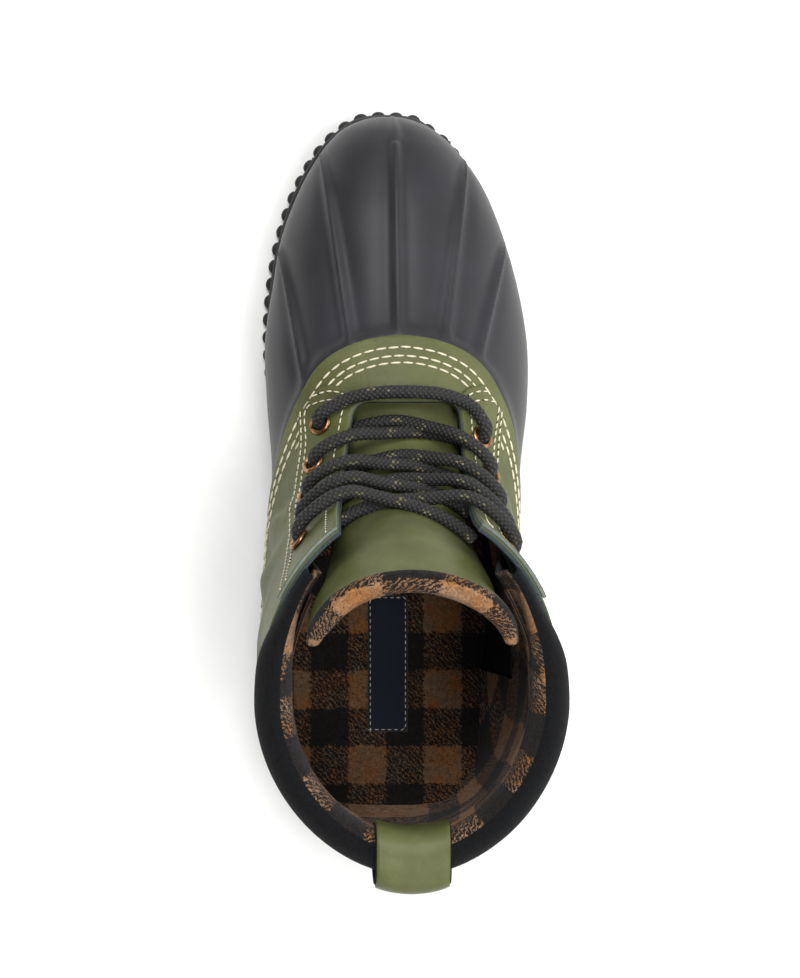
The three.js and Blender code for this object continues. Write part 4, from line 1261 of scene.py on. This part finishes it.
turns = np.linspace(cuff["front"], 2 * math.pi - cuff["front"], columns)
sectionList = []
for k, angle in enumerate(turns):
    toBack = 1 - abs(k / (columns - 1) - 0.5) * 2
    body = float(smooth(toBack * 3))
    thick = cuff["thick"] * mix(0.55, 1, body)
    r = thick / 2
    per = float(np.linalg.norm(lastPoint(cuff["top"], angle) - lastPoint(cuff["top"] - 0.02, angle))) / 0.02
    topZ = float(lastPoint(cuff["top"], angle)[2])
    y = float(lastPoint(cuff["top"], angle)[1])
    bare = topZ - float(heightOn(toplineLine, np.array([y]))[0]) - 0.6
    bulge = 2.9 - 3.7 * float(smooth((bare - 4.0) / 8))
    # depth under the top and inset, from the outside over the roll and down the inside
    profile = [(max(bare, r) + 6, 3.0)]
    for d in np.linspace(max(bare, r) + 1, r * 1.02, 8):
        profile.append((d, mix(2.9, bulge, float(smooth((bare + 0.6 - d) / 2.2)))))
    outside = profile[-1][1]
    for a in np.linspace(0.12, math.pi - 0.12, 12):
        profile.append((r - r * math.sin(a), mix(outside, thick - 0.6, 0.5 - 0.5 * math.cos(a))))
    profile += [(r + 2, thick - 0.6), (r + 6, thick - 0.4), (r + 12, thick - 1.0)]
    for d in (r + 20, r + 28, r + 36):
        profile.append((d, liningInset(cuff["top"] - d / per) - 1.4))
    depth, inset = np.array(profile).T
    s = np.maximum(0.50, cuff["top"] - depth / per)
    sag = 0.6 * np.sin(angle * 7 + depth * 0.12) * smooth(depth / 40)
    sectionList.append(skinPoint(s, np.full(len(s), angle), inset + sag))
grid = np.array(sectionList)
count = grid.shape[1]
# soft uneven roll
for k in range(columns):
    for j in range(count):
        share = 1.0 if 5 <= j < 22 else 0.3
        grid[k, j, 2] += noise.noise(Vector(grid[k, j]) * 0.045) * 0.7 * share
placeU = distances(grid[:, 18])
placeV = np.stack([distances(grid[k]) for k in range(columns)])
uvs = np.stack([np.broadcast_to(placeU[:, None], (columns, count)), placeV], -1).reshape(-1, 2)
feltEnd = 5 + 4 + int(12 * cuff["feltShare"])
faces = gridFaces(columns, count, turned=True)
slots = [0 if j < feltEnd else 1 for k in range(columns - 1) for j in range(count - 1)]
collar = newObject("felt_cuff_and_lining", grid.reshape(-1, 3), faces, [felt, wool], uvs, slots)
giveWall(collar, 0.0012)
addPiece(collar, "felt", "cuff")


# lining: brushed wool from under the roll down to the footbed
def liningInner(s, angle, base):
    waves = np.sin(angle * 6 + s * 30) * np.sin(s * 26 + angle * 2) * smooth((s - 0.55) * 6)
    return liningInset(s) + 0.7 * waves


def liningOuter(s, angle, base):
    return liningInner(s, angle, base) - 1.2


params, faces = skinGrid(liningRows["low"], 0.915, 110, 150)
params, faces, _ = cutGrid(params, faces, lambda p: p[:, 2] - soleTop(p[:, 1]) - 1.5)
params, faces, _ = cutGrid(params, faces, lambda p: offThroat(p) - 16)
lining = skinSheet("wool_lining", params, faces, liningOuter, liningInner, [wool], lip=0.1)
closeUp(lining)
addPiece(lining, "wool")

# insole
print("insole")
rows, columns = 110, 60
# where the shell's inner wall stands at the height of the footbed
wallGrid = skinGrid(0.0, 1.0, 420, 420)[0]
ringPoints = skinPoint(wallGrid[:, 0], wallGrid[:, 1], np.full(len(wallGrid), 5.2))
ringPoints = ringPoints[np.abs(ringPoints[:, 2] - soleTop(ringPoints[:, 1]) - 3.5) < 1.0]
ys = np.linspace(ringPoints[:, 1].min() + 1.2, ringPoints[:, 1].max() - 2.0, rows)
edges = []
for y in ys:
    near = ringPoints[np.abs(ringPoints[:, 1] - y) < 0.9, 0]
    edges.append((near.min(), near.max()) if len(near) else (edges[-1] if edges else (-8.0, -6.0)))
edges = np.array(edges)
verts, uvs = [], []
for r, y in enumerate(ys):
    z = float(soleTop(np.array(y))) + 4.5
    for c in range(columns):
        u = c / (columns - 1)
        x = mix(edges[r, 0], edges[r, 1], u)
        # the heel end is round and runs back into the wall
        back = y - 3.2 * (1 - (u * 2 - 1) ** 2) * max(0, 1 - r / 10)
        verts.append((x, back, z + 1.6 * abs(u * 2 - 1) ** 6 - 0.4))
        uvs.append((x, back))
# the footbed takes the darker check, which is painted shade
footbed = newObject("wool_insole", verts, gridFaces(rows, columns), [woolInShade], uvs)
giveWall(footbed, 0.004)
addPiece(footbed, "wool", "insole")

# label
print("label")
label = dict(x=(-15.2, 1.2), y=(-2.0, 54.0), lift=4.45, hem=1.0)
verts, uvs = [], []
rows, columns = 24, 8
for r in range(rows):
    for c in range(columns):
        x = mix(label["x"][0], label["x"][1], c / (columns - 1))
        y = mix(label["y"][0], label["y"][1], r / (rows - 1))
        verts.append((x, y, float(soleTop(np.array(y))) + label["lift"]))
        uvs.append((x, y))
tag = newObject("woven_label", verts, gridFaces(rows, columns), [navyLabel], uvs)
giveWall(tag, 0.0006)
addPiece(tag, "felt")
left, right = label["x"][0] + label["hem"], label["x"][1] - label["hem"]
back, front = label["y"][0] + label["hem"], label["y"][1] - label["hem"]
corners = np.array([(left, back), (right, back), (right, front), (left, front), (left, back)])
lifted = soleTop(corners[:, 1]) + label["lift"] + 0.15
border = evenLine(np.column_stack([corners, lifted]), 1.0)
border[:, 2] = soleTop(border[:, 1]) + label["lift"] + 0.15
addPiece(rowAlong("label_stitches", [border], stitchTree, thread, 2.6, 1.7, 0.4), "cord")

# pull loop
print("pull loop")
loop = dict(width=28.0, wall=2.2, reach=8.5, curve=80.0)
cuffBack = skinPoint(0.945, math.pi, -0.4)
foot = skinPoint(0.86, math.pi, -3 * clearance)
inside = cuffBack[1] + 11.5 + 8 * clearance
top = cuffBack[2] + 2 * clearance
outside = cuffBack[1] - loop["reach"] + loop["wall"]
path = np.array([
    (inside, top - 17), (inside, top - 7), (inside - 1, top - 2), (inside - 3.8, top + 0.6),
    (inside - 7.7, top + 0.6), (outside + 3, top - 1.5), (outside + 0.4, top - 8), (outside, top - 17),
    (mix(outside, foot[1], 0.5), top - 31), (foot[1] - 0.2, foot[2] + 8), (foot[1], foot[2])])
path = smoothPath(np.column_stack([np.zeros(len(path)), path]), 1.0)[:, 1:]
columns = 24


def loopGrid(offset, narrow):
    out = []
    for i, p in enumerate(path):
        ahead = unit(path[min(len(path) - 1, i + 1)] - path[max(0, i - 1)])
        for k in range(columns):
            x = (k / (columns - 1) - 0.5) * (loop["width"] - narrow)
            edge = abs(k / (columns - 1) * 2 - 1) ** 8 * 0.35
            lift = offset - edge * (1 if offset > 1 else -1) * 0.6
            bent = x * x / loop["curve"]
            out.append((x + cuffBack[0], p[0] + ahead[1] * lift + bent, p[1] - ahead[0] * lift))
    return np.array(out)


steps = len(path)
for name, low, high, material, narrow in (("felt_loop_backing", 0.0, 0.9, felt, -0.6),
                                          ("leather_pull_loop", 0.95, 2.4, leather, 0.6)):
    a, b = loopGrid(low, narrow), loopGrid(high, narrow)
    verts = np.concatenate([a, b])
    size = steps * columns
    faces = gridFaces(steps, columns)
    faces += [tuple(size + i for i in face) for face in gridFaces(steps, columns, turned=True)]
    for i in range(steps - 1):
        first, last = i * columns, i * columns + columns - 1
        faces.append((first, first + columns, size + first + columns, size + first))
        faces.append((last, size + last, size + last + columns, last + columns))
    for k in range(columns - 1):
        first, last = k, (steps - 1) * columns + k
        faces.append((first, size + first, size + first + 1, first + 1))
        faces.append((last, last + 1, size + last + 1, size + last))
    strap = newObject(name, verts, faces, [material])
    closeUp(strap, 1e-6)
    addPiece(strap, "leather", *(["pull_loop"] if material is leather else []))
# sewn to the shaft by one row across its foot
sewn = path[len(path) - 7]
ahead = unit(path[len(path) - 6] - path[len(path) - 8])
x = np.linspace(-0.5, 0.5, 25) * (loop["width"] - 5)
footRow = np.column_stack([x + cuffBack[0], sewn[0] + ahead[1] * 2.5 + x * x / loop["curve"],
                           np.full(25, sewn[1] - ahead[0] * 2.5)])
addPiece(rowAlong("loop_stitches", [footRow], stitchTree, thread, stitch["fine"], 2.6, 0.7), "cord")

# stage
print("stage")
floorWhite = plainCloth("floorWhite", "#ececea", "#f4f4f2", 0.01, 0.9, 0.0, 0.0001, 0.0)
floorCorners = [(x * 3000, y * 3000, -0.4) for x, y in ((-1, -1), (1, -1), (1, 1), (-1, 1))]
floor = newObject("pale_floor", floorCorners, [(0, 1, 2, 3)], [floorWhite], flat=True)


def softLight(name, place, target, size, power, tint=(1, 1, 1)):
    data = bpy.data.lights.new(name, "AREA")
    data.shape, data.size, data.energy, data.color = "DISK", size, power, tint
    thing = bpy.data.objects.new(name, data)
    bpy.context.scene.collection.objects.link(thing)
    thing.location = place
    thing.rotation_euler = (Vector(target) - Vector(place)).to_track_quat("-Z", "Y").to_euler()


softLight("keyLight", (-0.25, 0.95, 2.0), (0, 0.08, 0.05), 0.9, 34)
softLight("topLight", (0.45, -0.2, 2.1), (0, 0.05, 0.05), 0.7, 20)
softLight("sideLight", (1.3, 0.3, 0.8), (0, 0.08, 0.05), 0.9, 9)
softLight("backLight", (0.5, -1.3, 1.2), (0, 0.08, 0.05), 1.0, 7)
world = bpy.data.worlds.new("studio")
world.use_nodes = True
sky = world.node_tree
aim = addNode(sky, "ShaderNodeTexCoord")
parts = addNode(sky, "ShaderNodeSeparateXYZ", {0: aim.outputs["Generated"]})
# the studio is brighter on the lateral side
sky.links.new(spread(sky, parts.outputs[0], -0.9, 0.3, 0.12, 0.78), sky.nodes["Background"].inputs[1])
sky.nodes["Background"].inputs[0].default_value = (1, 1, 1, 1)
bpy.context.scene.world = world
bpy.context.scene.view_settings.view_transform = "Standard"

cameraData = bpy.data.cameras.new("photoCamera")
cameraData.lens, cameraData.sensor_width, cameraData.sensor_fit = 132.6, 36.0, "AUTO"
camera = bpy.data.objects.new("photoCamera", cameraData)
bpy.context.scene.collection.objects.link(camera)
cameraPlace = Vector((-0.0725, 0.1418, 1.5))
ahead = (Vector((-0.0035, 0.0985, 0.06)) - cameraPlace).normalized()
right = ahead.cross(Vector((0, 1, 0))).normalized()
upward = right.cross(ahead).normalized()
turned = Matrix((right, upward, -ahead)).transposed().to_4x4()
camera.matrix_world = Matrix.Translation(cameraPlace) @ turned
bpy.context.scene.camera = camera

print("done")
